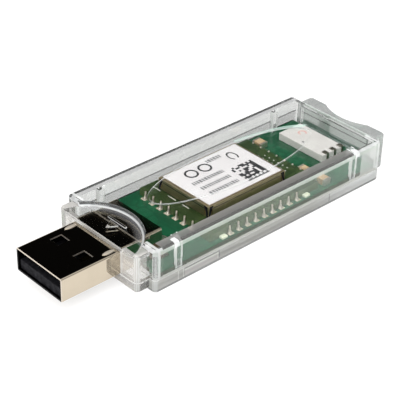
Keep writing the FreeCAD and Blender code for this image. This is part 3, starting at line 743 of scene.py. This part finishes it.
@dataclass(frozen=True)
class Plain:
    """Dull or glossy moulded stuff with grain: plastic, ceramic, paper, epoxy or ink."""

    name: str
    colour: Colour
    second: Colour
    roughness: Span = (0.4, 0.5)
    mottle: float = 600.0
    grain: float = 6000.0
    depth: float = 0.004 * MM
    specular: float = 0.5
    mottle_edges: Span = (0.35, 0.7)
    grain_edges: Span = (0.3, 0.7)

    def material(self) -> bpy.types.Material:
        """Mottled colour with a fine grain.

        Returns:
            The material.
        """
        shader = Shader.named(self.name)
        spots = shader.ramp(shader.noise(self.mottle, detail=3.0), *self.mottle_edges)
        grain = shader.noise(self.grain, detail=2.0)
        return shader.finish(shader.principled(
            Base_Color=shader.mix(spots, self.colour, self.second),
            Roughness=shader.ramp(grain, *self.grain_edges, *self.roughness),
            Specular_IOR_Level=self.specular,
            Normal=shader.bump(grain, self.depth)))


CLEAR = ClearPlastic()
STEEL = PlugSheet()
TIN = Metal("shield_tin", (0.58, 0.48, 0.29), (0.3, 0.4), (40.0, 40.0, 3000.0), 0.0002 * MM)
SOLDER = Metal("solder", (0.93, 0.84, 0.74), (0.28, 0.5), (1500.0, 1500.0, 1500.0), 0.01 * MM)
CONTACT = Metal("contact_gold", (0.4, 0.29, 0.12), (0.3, 0.45), (2500.0, 2500.0, 2500.0))
TERMINAL = Metal("terminal_metal", (0.36, 0.34, 0.28), (0.3, 0.45), (2500.0, 2500.0, 2500.0))
MAIN_MASK = SolderMask("main_board_mask", (0.004, 0.08, 0.033), (0.008, 0.12, 0.05))
RADIO_MASK = SolderMask("radio_board_mask", (0.024, 0.05, 0.014), (0.045, 0.08, 0.022),
                        (0.07, 0.11, 0.035))
TONGUE = Plain("tongue_plastic", (0.004, 0.004, 0.005), (0.017, 0.017, 0.02), (0.6, 0.8), 1400.0,
               3000.0, 0.02 * MM, 0.1)
PAPER = Plain("label_paper", (0.82, 0.785, 0.795), (0.87, 0.84, 0.85), (0.32, 0.45), 200.0)
INK = Plain("label_ink", (0.02, 0.02, 0.022), (0.05, 0.05, 0.055), (0.4, 0.6), 2500.0)
GREY_INK = Plain("grey_ink", (0.16, 0.16, 0.165), (0.34, 0.34, 0.35), (0.4, 0.6), 3500.0)
CERAMIC = Plain("antenna_ceramic", (0.68, 0.65, 0.63), (0.76, 0.74, 0.71), (0.35, 0.5), 260.0)
TAN = Plain("capacitor_tan", (0.48, 0.33, 0.18), (0.62, 0.46, 0.29), (0.35, 0.5))
CHIP = Plain("chip_epoxy", (0.018, 0.018, 0.02), (0.035, 0.035, 0.038), (0.45, 0.6))
PAD = Plain("solder_pad", (0.66, 0.56, 0.4), (0.85, 0.78, 0.62), (0.3, 0.4), 900.0)
# Pale tin with a painted highlight in its colour, for the larger end pads.
PAD_GLINT = Plain("pad_glint", (0.8, 0.85, 0.62), (0.9, 0.93, 0.78), (0.3, 0.4), 900.0)
SILK = Plain("silkscreen", (0.78, 0.78, 0.72), (0.88, 0.88, 0.84), (0.5, 0.6))
ROSE_INK = Plain("rose_ink", (0.72, 0.42, 0.38), (0.8, 0.55, 0.5), (0.4, 0.6), 1500.0)

Finish = ClearPlastic | Metal | PlugSheet | SolderMask | Plain


class Paints:
    """Materials made once for each finish."""

    made: dict[str, bpy.types.Material] = {}

    @classmethod
    def of(cls, finish: Finish) -> bpy.types.Material:
        """The material of a finish, made on first use.

        Args:
            finish: The finish.

        Returns:
            Its material.
        """
        key = repr(finish)
        if key not in cls.made:
            cls.made[key] = finish.material()
        return cls.made[key]


# Mesh helpers


def add_object(name: str, data: bpy.types.ID) -> bpy.types.Object:
    """Make an object and link it to the scene.

    Args:
        name: The object's name.
        data: Its mesh, camera or lamp.

    Returns:
        The new object.
    """
    made = bpy.data.objects.new(name, data)
    bpy.context.scene.collection.objects.link(made)
    return made


def dress(node: str, finish: Finish) -> bpy.types.Object:
    """Give a carried-over node its finish.

    Args:
        node: The node's name.
        finish: The finish.

    Returns:
        The node's object.
    """
    piece = bpy.data.objects[node]
    piece.data.materials.clear()
    piece.data.materials.append(Paints.of(finish))
    return piece


def round_edges(piece: bpy.types.Object, width: float) -> None:
    """Round a piece's sharp edges with modifiers.

    Args:
        piece: The object.
        width: Width of the rounding, in metres.
    """
    bevel = piece.modifiers.new("edges", "BEVEL")
    bevel.width = width
    bevel.segments = 2
    bevel.limit_method = "ANGLE"
    bevel.angle_limit = SHARP_ANGLE
    bevel.use_clamp_overlap = True
    piece.modifiers.new("normals", "WEIGHTED_NORMAL").keep_sharp = True


def soften(piece: bpy.types.Object, width: float) -> None:
    """Round a carried-over node's sharp edges, its mesh of loose triangles left alone.

    Args:
        piece: The node's object.
        width: Width of the rounding, in metres.
    """
    piece.modifiers.new("weld", "WELD").merge_threshold = WELD
    flat = piece.modifiers.new("flat", "DECIMATE")
    flat.decimate_type = "DISSOLVE"
    flat.angle_limit = FLAT_ANGLE
    round_edges(piece, width)


def new_piece(name: str, mesh: Mesh, finishes: list[Finish]) -> bpy.types.Object:
    """Turn a bmesh into a piece that rides on the stick.

    Args:
        name: The piece's name.
        mesh: Its geometry, in the frame, which is freed here.
        finishes: Its materials, by material index.

    Returns:
        The new object.
    """
    bmesh.ops.recalc_face_normals(mesh, faces=mesh.faces)
    data = bpy.data.meshes.new(name)
    mesh.to_mesh(data)
    mesh.free()
    for finish in finishes:
        data.materials.append(Paints.of(finish))
    piece = add_object(name, data)
    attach(piece, ROOT)
    return piece


def add_block(mesh: Mesh, low: Vector, high: Vector, rounding: float = 0.0) -> list[bmesh.types.BMVert]:
    """Add a box with rounded edges.

    Args:
        mesh: The bmesh that takes it.
        low: Its lowest corner.
        high: Its highest corner.
        rounding: Width of the rounding of its edges.

    Returns:
        Its vertices.
    """
    place = Matrix.Translation((low + high) / 2) @ Matrix.Diagonal((*(high - low), 1.0))
    made = bmesh.ops.create_cube(mesh, size=1.0, matrix=place)["verts"]
    if rounding > 0:
        faces = {face for vert in made for face in vert.link_faces}
        edges = {edge for vert in made for edge in vert.link_edges}
        result = bmesh.ops.bevel(mesh, geom=list(edges), offset=rounding, segments=2,
                                 profile=0.5, affect="EDGES", material=-1)
        for face in faces | set(result["faces"]):
            if face.is_valid:
                face.smooth = True
        made = result["verts"]
    return made


def paint(verts: list[bmesh.types.BMVert], material: int) -> None:
    """Give the faces at some vertices a material index."""
    for face in {face for vert in verts for face in vert.link_faces}:
        face.material_index = material


def add_disc(mesh: Mesh, centre: Vector, radius: float, segments: int = 20) -> None:
    """Add a flat disc that faces up."""
    bmesh.ops.create_circle(mesh, cap_ends=True, segments=segments, radius=radius,
                            matrix=Matrix.Translation(centre))


def add_patch(mesh: Mesh, low: Span, high: Span, height: float, material: int = 0) -> None:
    """Add a flat rectangle that faces up.

    Args:
        mesh: The bmesh that takes it.
        low: Its lowest X and Y.
        high: Its highest X and Y.
        height: Its Z.
        material: Material index.
    """
    size = Matrix.Diagonal((high[0] - low[0], high[1] - low[1], 1.0, 1.0))
    place = Matrix.Translation(((low[0] + high[0]) / 2, (low[1] + high[1]) / 2, height)) @ size
    paint(bmesh.ops.create_grid(mesh, x_segments=1, y_segments=1, size=0.5, matrix=place)["verts"],
          material)


def add_arc(mesh: Mesh, centre: Vector, radii: Span, angles: Span = (0.0, FULL_TURN),
            material: int = 0, stretch: float = 1.0) -> None:
    """Add a flat ring or part of one that faces up.

    Args:
        mesh: The bmesh that takes it.
        centre: Centre of the ring.
        radii: Inner and outer radius.
        angles: Start and end, in degrees from +X towards +Y.
        material: Material index.
        stretch: How much longer the ring is along Y than along X.
    """
    line = [mesh.verts.new((radius, 0.0, 0.0)) for radius in radii]
    edge = mesh.edges.new(line)
    degrees = angles[1] - angles[0]
    bmesh.ops.rotate(mesh, verts=line, matrix=Matrix.Rotation(math.radians(angles[0]), 3, "Z"))
    before = set(mesh.faces)
    bmesh.ops.spin(mesh, geom=[*line, edge], axis=(0, 0, 1), cent=(0, 0, 0), angle=math.radians(degrees),
                   steps=max(LEAST_ARC_STEPS, int(degrees / ARC_STEP)), use_merge=degrees == FULL_TURN)
    verts = list({vert for face in set(mesh.faces) - before for vert in face.verts})
    bmesh.ops.transform(mesh, verts=verts,
                        matrix=Matrix.Translation(centre) @ Matrix.Diagonal((1.0, stretch, 1.0, 1.0)))
    paint(verts, material)


# Sub-assemblies


@dataclass
class Housing:
    """The two clear shells, as smooth copies that stand a hair apart."""

    nodes: tuple[str, ...] = ("top_shell", "bottom_shell")
    edge: float = 0.1 * MM
    air: float = 0.03 * MM
    slack: float = 0.001

    def build(self) -> None:
        """Replace both packed shells by rounded copies with air between them."""
        for node in self.nodes:
            mesh = self.copy(node)
            self.shrink(mesh)
            shell = new_piece("clear_" + node, mesh, [CLEAR])
            round_edges(shell, self.edge)
            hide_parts(node)
            LOG.info("made %s", shell.name)

    def copy(self, node: str) -> Mesh:
        """Welded copy of a node's mesh with its flat faces whole.

        Args:
            node: The node's name.

        Returns:
            The copy.
        """
        mesh = bmesh.new()
        mesh.from_mesh(bpy.data.objects[node].data)
        bmesh.ops.remove_doubles(mesh, verts=mesh.verts, dist=WELD)
        bmesh.ops.dissolve_limit(mesh, angle_limit=FLAT_ANGLE, verts=mesh.verts, edges=mesh.edges)
        for face in mesh.faces:
            face.smooth = True
        return mesh

    def shrink(self, mesh: Mesh) -> None:
        """Move every face inwards by the air gap, corners included.

        Args:
            mesh: The shell, whose vertices are moved.
        """
        moves = []
        for vert in mesh.verts:
            pull = Matrix.Identity(3) * self.slack
            want = Vector((0, 0, 0))
            for face in vert.link_faces:
                normal = face.normal
                for row in range(3):
                    for column in range(3):
                        pull[row][column] += normal[row] * normal[column]
                want += normal * self.air
            moves.append(pull.inverted() @ want)
        for vert, move in zip(mesh.verts, moves):
            vert.co -= move


@dataclass
class Plug:
    """The metal plug with its tongue and contacts."""

    edge: float = 0.05 * MM
    contacts: int = 4

    def build(self) -> None:
        """Dress the plug's pieces."""
        soften(dress("usb_shell", STEEL), self.edge)
        soften(dress("usb_tongue", TONGUE), self.edge)
        for number in range(self.contacts):
            dress("usb_contact_%d" % (number + 1), CONTACT)
        LOG.info("dressed the plug")


@dataclass
class MainBoard:
    """The green board that carries everything."""

    tab_place: Span = (-13.9 * MM, 4.3 * MM)
    tab_radii: Span = (0.45 * MM, 0.75 * MM)
    tab_stretch: float = 1.3
    tab_core: float = 0.27 * MM

    def build(self) -> None:
        """Dress the board and solder the plug's tabs to it."""
        dress("main_board", MAIN_MASK)
        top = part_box("main_board")[1].z + SURFACE_LIFT
        tabs = bmesh.new()
        for side in Side:
            centre = Vector((self.tab_place[0], side.value * self.tab_place[1], top))
            add_arc(tabs, centre, self.tab_radii, stretch=self.tab_stretch)
            add_disc(tabs, centre, self.tab_core)
        new_piece("tab_joints", tabs, [SOLDER])
        LOG.info("dressed the main board")


@dataclass
class RadioModule:
    """The radio board with its shield, label, plated half holes and solder.

    The fillet's profile gives shares of the board's thickness, each with the solder's
    radius there in hole radii. A row of vias has its X, its first Y and their number.
    """

    metal_edge: float = 0.04 * MM
    label_edge: float = 0.03 * MM
    side_holes: int = 9
    first_hole: float = 4.55 * MM
    pitch: float = 2.05 * MM
    hole_radius: float = 0.42 * MM
    row_shift: float = 1.0 * MM
    end_steps: tuple[int, ...] = (-3, -2, -1, 0, 1, 2, 3)
    pad_half: float = 0.55 * MM
    pad_inset: float = 0.2 * MM
    pad_length: float = 0.95 * MM
    fillet: tuple[Span, ...] = ((0.0, 1.1), (0.2, 0.6), (0.55, 0.42), (1.0, 0.4))
    fillet_segments: int = 12
    fillet_spread: float = 0.55
    fillet_dome: float = 0.1
    dash_station: float = 2.1 * MM
    dash_half: float = 0.09 * MM
    dashes: tuple[Span, ...] = ((5.6 * MM, 7.6 * MM), (1.5 * MM, 3.6 * MM), (-1.9 * MM, -0.2 * MM))
    end_pad_pitches: Span = (0.9, 1.0)
    end_pad_side: float = 0.45 * MM
    end_pad_reach: Span = (0.62 * MM, 0.44 * MM)
    end_pad_height: float = 0.45 * MM
    end_pad_edge: float = 0.08 * MM
    vias: tuple[tuple[float, float, int], ...] = (
        (14.5 * MM, -4.6 * MM, 4), (15.7 * MM, -3.9 * MM, 7), (16.7 * MM, -3.4 * MM, 6))
    via_pitch: float = 1.15 * MM
    via_radius: float = 0.15 * MM
    via_segments: int = 10
    slit_top: Span = (0.28 * MM, 1.15 * MM)
    slit_foot: float = 0.32 * MM
    slit_ends: Span = (0.05 * MM, 0.12 * MM)
    groove_drops: Span = (0.72 * MM, 0.6 * MM)
    skin: float = 0.015 * MM
    board: Box = field(default_factory=lambda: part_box("radio_board"))
    lid: Box = field(default_factory=lambda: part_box("shield_lid"))

    def build(self) -> None:
        """Dress the module and add its plating, solder, pads and silkscreen."""
        dress("radio_board", RADIO_MASK)
        for node in ("shield_fence", "shield_lid"):
            soften(dress(node, TIN), self.metal_edge)
        soften(dress("module_label", PAPER), self.label_edge)
        self.add_joints()
        self.add_silkscreen()
        self.add_end_pads()
        self.add_vias()
        self.add_slits()
        self.add_groove()
        LOG.info("dressed the radio module")

    def side_stations(self) -> list[float]:
        """Places of the long sides' holes along X."""
        low = self.board[0].x + self.first_hole
        return [low + number * self.pitch for number in range(self.side_holes)]

    def joints(self) -> list[tuple[Vector, Vector]]:
        """Places of all half holes.

        Returns:
            Each one's centre on the board's upper edge, and its way out.
        """
        low, high = self.board
        found = []
        for x in self.side_stations():
            for side in Side:
                found.append((Vector((x, side.value * high.y, high.z)), Vector((0, side.value, 0))))
        for step in self.end_steps:
            y = self.row_shift + step * self.pitch
            found.append((Vector((low.x, y, high.z)), Vector((-1, 0, 0))))
            found.append((Vector((high.x, y, high.z)), Vector((1, 0, 0))))
        return found

    def add_joints(self) -> None:
        """Add the pads of the half holes and the solder that climbs them."""
        plating = bmesh.new()
        solder = bmesh.new()
        for centre, out in self.joints():
            self.add_plating(plating, centre, out)
            self.add_fillet(solder, centre, out)
        new_piece("half_hole_plating", plating, [PAD])
        new_piece("solder_joints", solder, [SOLDER])

    def add_plating(self, mesh: Mesh, centre: Vector, out: Vector) -> None:
        """Add the pad under a joint.

        Args:
            mesh: The bmesh that takes it.
            centre: The half hole's centre.
            out: Its way out of the board.
        """
        across = Vector((abs(out.y), abs(out.x), 0)) * self.pad_half
        start = Vector((centre.x, centre.y, 0)) - out * self.pad_inset
        end = start + out * self.pad_length
        low = (min(start.x, end.x) - across.x, min(start.y, end.y) - across.y)
        high = (max(start.x, end.x) + across.x, max(start.y, end.y) + across.y)
        add_patch(mesh, low, high, self.board[0].z + SURFACE_LIFT)

    def add_fillet(self, mesh: Mesh, centre: Vector, out: Vector) -> None:
        """Add solder that fills the half hole and runs out over the pad.

        Args:
            mesh: The bmesh that takes it.
            centre: The half hole's centre.
            out: Its way out of the board.
        """
        low, high = self.board
        rings = []
        for share, reach in self.fillet:
            height = low.z + SURFACE_LIFT + share * (high.z - low.z)
            ring = bmesh.ops.create_circle(
                mesh, segments=self.fillet_segments, radius=self.hole_radius * reach,
                matrix=Matrix.Translation((centre.x, centre.y, height)))["verts"]
            for vert in ring:
                away = (vert.co - Vector((centre.x, centre.y, vert.co.z))).dot(out)
                vert.co += out * max(0.0, away) * self.fillet_spread * (1 - share)
            rings.append(ring)
        edges = [{edge for vert in ring for edge in vert.link_edges} for ring in rings]
        for lower, upper in zip(edges, edges[1:]):
            bmesh.ops.bridge_loops(mesh, edges=list(lower | upper))
        top = mesh.faces.new(rings[-1])
        bmesh.ops.poke(mesh, faces=[top], offset=self.fillet_dome * self.hole_radius)
        for ring in rings:
            for vert in ring:
                for face in vert.link_faces:
                    face.smooth = True

    def add_silkscreen(self) -> None:
        """Add the white dashes in front of the shield."""
        mesh = bmesh.new()
        x = self.board[0].x + self.dash_station
        for start, end in self.dashes:
            add_patch(mesh, (x - self.dash_half, start), (x + self.dash_half, end),
                      self.board[1].z + SURFACE_LIFT)
        new_piece("silkscreen_dashes", mesh, [SILK])

    def add_end_pads(self) -> None:
        """Add the two larger tinned pads at the ends of each long row, pale tin with a painted highlight
        in their colour.
        """
        mesh = bmesh.new()
        reach = Vector((*self.end_pad_reach, 0.0))
        rise = Vector((0, 0, self.end_pad_height))
        stations = self.side_stations()
        before, after = (share * self.pitch for share in self.end_pad_pitches)
        for x in (stations[0] - before, stations[-1] + after):
            for side in Side:
                y = side.value * (self.board[1].y + self.end_pad_side)
                centre = Vector((x, y, self.board[0].z))
                add_block(mesh, centre - reach, centre + reach + rise, self.end_pad_edge)
        # Pale tin with a painted highlight in its colour.
        new_piece("end_pads", mesh, [PAD_GLINT])

    def add_vias(self) -> None:
        """Add the small plated holes behind the shield."""
        mesh = bmesh.new()
        for x, start, count in self.vias:
            for number in range(count):
                centre = Vector((x, start + self.via_pitch * number, self.board[1].z + SURFACE_LIFT))
                add_disc(mesh, centre, self.via_radius, self.via_segments)
        new_piece("plated_vias", mesh, [SILK])

    def lid_sides(self) -> list[tuple[int, int, list[float]]]:
        """Each upright side of the lid.

        Returns:
            The axis that it runs along, the axis that it faces, and the two bounds there of
            a thin skin on it.
        """
        low, high = self.lid
        return [(axis, other, sorted((face, face + out)))
                for axis, other in ((0, 1), (1, 0))
                for face, out in ((low[other], -self.skin), (high[other], self.skin))]

    def add_slits(self) -> None:
        """Add black sheets as painted shade in the gaps that run down to a point at the shield's four
        upright corners.
        """
        low, high = self.lid
        foot = self.board[1].z + self.slit_ends[0]
        top = high.z - self.slit_ends[1]
        mesh = bmesh.new()
        for axis, other, skin in self.lid_sides():
            for corner, inward in ((low[axis], 1.0), (high[axis], -1.0)):
                start, end = Vector((0, 0, foot)), Vector((0, 0, top))
                start[axis], end[axis] = sorted(corner + inward * width for width in self.slit_top)
                start[other], end[other] = skin
                for vert in add_block(mesh, start, end):
                    if vert.co.z < (foot + top) / 2:
                        wide = abs(vert.co[axis] - corner) > sum(self.slit_top) / 2
                        vert.co[axis] = corner + inward * (self.slit_foot if wide else 0.0)
        # Black sheets as painted shade in the corner gaps of the shield.
        new_piece("corner_slits", mesh, [TONGUE])

    def add_groove(self) -> None:
        """Add the thin dark line where the lid folds over the shield's sides."""
        low, high = self.lid
        foot, top = (high.z - drop for drop in self.groove_drops)
        mesh = bmesh.new()
        for axis, other, skin in self.lid_sides():
            start, end = Vector((0, 0, foot)), Vector((0, 0, top))
            start[axis], end[axis] = low[axis] + self.slit_top[1], high[axis] - self.slit_top[1]
            start[other], end[other] = skin
            add_block(mesh, start, end)
        new_piece("lid_groove", mesh, [CHIP])


@dataclass
class LabelPrint:
    """Generic print on the label: bars for words, a block of squares and two rings.

    Places are in millimetres from the label's front near corner. A row of words has its
    start, its end and its Y.
    """

    label: Box = field(default_factory=lambda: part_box("module_label"))
    seed: int = 41
    mark_place: Span = (10.5, 1.0)
    cells: int = 11
    cell: float = 0.47 * MM
    cell_share: float = 0.5
    rows: tuple[Triple, ...] = ((9.1, 12.6, 10.2), (2.2, 9.4, 6.1), (2.4, 9.2, 4.1), (2.6, 9.3, 2.1))
    bar_least: float = 0.24
    bar_spread: float = 0.28
    bar_gap: float = 0.2
    bar_height: float = 0.95
    ring_places: tuple[Span, ...] = ((4.4, 9.4), (7.6, 9.4))
    ring_radii: Span = (0.95 * MM, 1.35 * MM)
    lens_place: Span = (14.2, 9.2)
    lens_radii: Span = (0.7 * MM, 0.98 * MM)
    lens_angles: Span = (-60.0, 240.0)
    lens_stretch: float = 1.5

    def build(self) -> None:
        """Add the print as flat shapes just over the label."""
        mesh = bmesh.new()
        self.add_block_mark(mesh)
        self.add_word_bars(mesh)
        self.add_rings(mesh)
        new_piece("label_print", mesh, [INK, GREY_INK])
        LOG.info("printed the label")

    def at(self, x: float, y: float) -> Vector:
        """A point on the print."""
        low, high = self.label
        return Vector((low.x + x * MM, low.y + y * MM, high.z + SURFACE_LIFT))

    def draws(self) -> Iterator[float]:
        """Endless seeded numbers, the same on each run.

        Yields:
            A number from 0 to 1.
        """
        factor, step, modulus = 1103515245, 12345, 2147483648
        state = self.seed
        while True:
            state = (state * factor + step) % modulus
            yield state / modulus

    def add_block_mark(self, mesh: Mesh) -> None:
        """Add a square of scattered cells with a plain border along two of its sides.

        Args:
            mesh: The bmesh that takes it.
        """
        draws = self.draws()
        for row in range(self.cells):
            for column in range(self.cells):
                draw = next(draws)
                border = row == 0 or column == self.cells - 1
                if border or draw < self.cell_share:
                    corner = self.at(*self.mark_place) + Vector((column, row, 0)) * self.cell
                    add_patch(mesh, (corner.x, corner.y),
                              (corner.x + self.cell, corner.y + self.cell), corner.z)

    def add_word_bars(self, mesh: Mesh) -> None:
        """Add four rows of short bars, as unreadable as small print.

        Args:
            mesh: The bmesh that takes them.
        """
        draws = self.draws()
        for start, end, y in self.rows:
            x = start
            while x < end:
                width = self.bar_least + self.bar_spread * next(draws)
                low, high = self.at(x, y), self.at(min(x + width, end), y + self.bar_height)
                add_patch(mesh, (low.x, low.y), (high.x, high.y), low.z, 1)
                x += width + self.bar_gap

    def add_rings(self, mesh: Mesh) -> None:
        """Add two plain rings and a small open ring in the far corner."""
        for place in self.ring_places:
            add_arc(mesh, self.at(*place), self.ring_radii)
        add_arc(mesh, self.at(*self.lens_place), self.lens_radii, self.lens_angles,
                stretch=self.lens_stretch)


@dataclass
class Antenna:
    """The white ceramic block and its terminals.

    The marks' X is measured from the block's front end.
    """

    edge: float = 0.12 * MM
    terminal_edge: float = 0.03 * MM
    terminals: int = 3
    dot_place: Span = (1.0 * MM, 1.1 * MM)
    dot_radius: float = 0.28 * MM
    mark_place: Span = (3.4 * MM, 3.6 * MM)
    mark_radii: Span = (0.5 * MM, 0.9 * MM)
    mark_angles: Span = (-70.0, 200.0)
    block: Box = field(default_factory=lambda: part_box("antenna_block"))

    def build(self) -> None:
        """Dress the block and its terminals and add its two marks."""
        soften(dress("antenna_block", CERAMIC), self.edge)
        for number in range(self.terminals):
            soften(dress("antenna_terminal_%d" % (number + 1), TERMINAL), self.terminal_edge)
        mesh = bmesh.new()
        add_disc(mesh, self.on_top(self.dot_place), self.dot_radius)
        add_arc(mesh, self.on_top(self.mark_place), self.mark_radii, self.mark_angles, 1)
        new_piece("antenna_marks", mesh, [GREY_INK, ROSE_INK])
        LOG.info("dressed the antenna block")

    def on_top(self, place: Span) -> Vector:
        """A point just over the block."""
        low, high = self.block
        return Vector((low.x + place[0], place[1], high.z + SURFACE_LIFT))


@dataclass
class SmallParts:
    """Chip capacitors and the circuit under the board."""

    capacitors: int = 4
    capacitor_edge: float = 0.06 * MM
    cap_share: float = 0.18
    cap_swell: float = 0.02 * MM
    cap_edge: float = 0.05 * MM
    chip_edge: float = 0.05 * MM
    crystal_edge: float = 0.1 * MM

    def build(self) -> None:
        """Dress each small part and cap the capacitors' ends with tin."""
        for node in ("bridge_chip", "voltage_regulator"):
            soften(dress(node, CHIP), self.chip_edge)
        soften(dress("crystal", TERMINAL), self.crystal_edge)
        ends = bmesh.new()
        for number in range(self.capacitors):
            node = "capacitor_%d" % (number + 1)
            soften(dress(node, TAN), self.capacitor_edge)
            self.add_ends(ends, *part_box(node))
        new_piece("capacitor_ends", ends, [SOLDER])
        LOG.info("dressed the small parts")

    def add_ends(self, mesh: Mesh, low: Vector, high: Vector) -> None:
        """Add a tinned cap over each end of a capacitor's longer side.

        Args:
            mesh: The bmesh that takes them.
            low: The capacitor's lowest corner.
            high: Its highest corner.
        """
        swell = Vector((1, 1, 1)) * self.cap_swell
        axis = 0 if high.x - low.x > high.y - low.y else 1
        depth = (high[axis] - low[axis]) * self.cap_share
        for start in (low[axis], high[axis] - depth):
            first, last = low.copy(), high.copy()
            first[axis], last[axis] = start, start + depth
            first -= swell
            first.z = max(first.z, low.z)
            add_block(mesh, first, last + swell, self.cap_edge)


@dataclass
class Studio:
    """Camera, lights, floor and the white surroundings."""

    eye: Triple = (-0.133371, -0.140109, 0.127466)
    turn: Triple = (57.3428, -1.2225, -42.4469)
    focal_pixels: float = 1299.04
    frame_pixels: float = 400.0
    sensor: float = 36.0
    view_depth: Span = (0.01, 20.0)
    floor_half: float = 2.0
    floor_drop: float = 0.02 * MM
    floor_colour: Colour = (0.93, 0.925, 0.92)
    floor_white: float = 0.7
    floor_through: float = 0.25
    white: Colour = (1.0, 1.0, 1.0)
    horizon: float = 1.0
    ceiling: float = 0.4
    ceiling_heights: Span = (0.1, 0.6)
    zenith: float = 1.5
    zenith_heights: Span = (0.8, 0.93)
    card_way: Triple = (0.58, 0.61, 0.54)
    card_reach: Span = (0.955, 0.98)
    card_shade: float = 0.008
    fill: float = 0.75
    bounces: int = 32
    glossy_bounces: int = 24

    def build(self) -> None:
        """Set up the whole studio."""
        self.add_camera()
        self.add_floor()
        self.add_lamps()
        self.add_world()
        bpy.context.scene.view_settings.view_transform = "Standard"
        cycles = bpy.context.scene.cycles
        cycles.max_bounces = cycles.transmission_bounces = self.bounces
        cycles.glossy_bounces = self.glossy_bounces
        LOG.info("set up the studio")

    def add_camera(self) -> None:
        """Add the camera at the photograph's place."""
        data = bpy.data.cameras.new("camera")
        data.sensor_width = self.sensor
        data.lens = self.focal_pixels * self.sensor / self.frame_pixels
        data.clip_start, data.clip_end = self.view_depth
        camera = add_object("camera", data)
        camera.location = self.eye
        camera.rotation_euler = Euler([math.radians(angle) for angle in self.turn], "XYZ")
        bpy.context.scene.camera = camera

    def add_floor(self) -> None:
        """Add a pale floor that shows white and keeps a soft shadow."""
        mesh = bmesh.new()
        bmesh.ops.create_grid(mesh, x_segments=1, y_segments=1, size=self.floor_half)
        data = bpy.data.meshes.new("floor")
        mesh.to_mesh(data)
        mesh.free()
        floor = add_object("floor", data)
        floor.location.z = -self.floor_drop
        shader = Shader.named("floor")
        lit = shader.add("BsdfDiffuse", Color=self.floor_colour).outputs[0]
        white = shader.add("Emission", Color=self.white, Strength=1.0).outputs[0]
        path = shader.add("LightPath")
        seen = shader.either(path.outputs["Is Camera Ray"], path.outputs["Is Glossy Ray"])
        through = shader.both(path.outputs["Is Transmission Ray"], self.floor_through)
        share = shader.either(shader.both(seen, self.floor_white), through)
        data.materials.append(shader.finish(shader.blend(share, lit, white)))

    def add_lamps(self) -> None:
        """Add two large soft lamps, one overhead and one beside the camera."""
        for name, place, size, power in (
                ("overhead", (-0.05, -0.08, 0.55), 1.0, 6.4),
                ("beside", (-0.5, -0.15, 0.3), 0.3, 1.6)):
            data = bpy.data.lights.new(name, "AREA")
            data.shape = "SQUARE"
            data.size = size
            data.energy = power
            lamp = add_object(name, data)
            lamp.location = place
            lamp.visible_glossy = lamp.visible_transmission = name != "overhead"
            lamp.rotation_euler = Vector(place).to_track_quat("Z", "Y").to_euler()

    def add_world(self) -> None:
        """White all round, greyer above, with one dark card for what faces it."""
        world = bpy.data.worlds.new("studio")
        bpy.context.scene.world = world
        shader = Shader(world)
        ray = shader.add("TexCoord").outputs["Generated"]
        height = shader.axes(ray)[2]
        around = shader.ramp(height, *self.ceiling_heights, self.horizon, self.ceiling)
        around = shader.ramp(height, *self.zenith_heights, around, self.zenith)
        card = shader.fill("VectorMath", {"operation": "DOT_PRODUCT"},
                           {0: ray, 1: Vector(self.card_way).normalized()})
        beside = shader.ramp(card.outputs["Value"], *self.card_reach, 1.0, self.card_shade)
        path = shader.add("LightPath")
        mirrored = shader.either(path.outputs["Is Glossy Ray"], path.outputs["Is Transmission Ray"])
        strength = shader.ramp(mirrored, 0.0, 1.0, self.fill, shader.both(around, beside))
        background = shader.add("Background", Color=self.white, Strength=strength).outputs[0]
        shader.finish(background, "OutputWorld")


def main() -> None:
    """Load the frame, dress every piece and set up the studio."""
    logging.basicConfig(level=logging.INFO, format="%(message)s")
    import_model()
    for part in (Housing(), Plug(), MainBoard(), RadioModule(), LabelPrint(), Antenna(),
                 SmallParts(), Studio()):
        part.build()


if __name__ == "__main__":
    main()
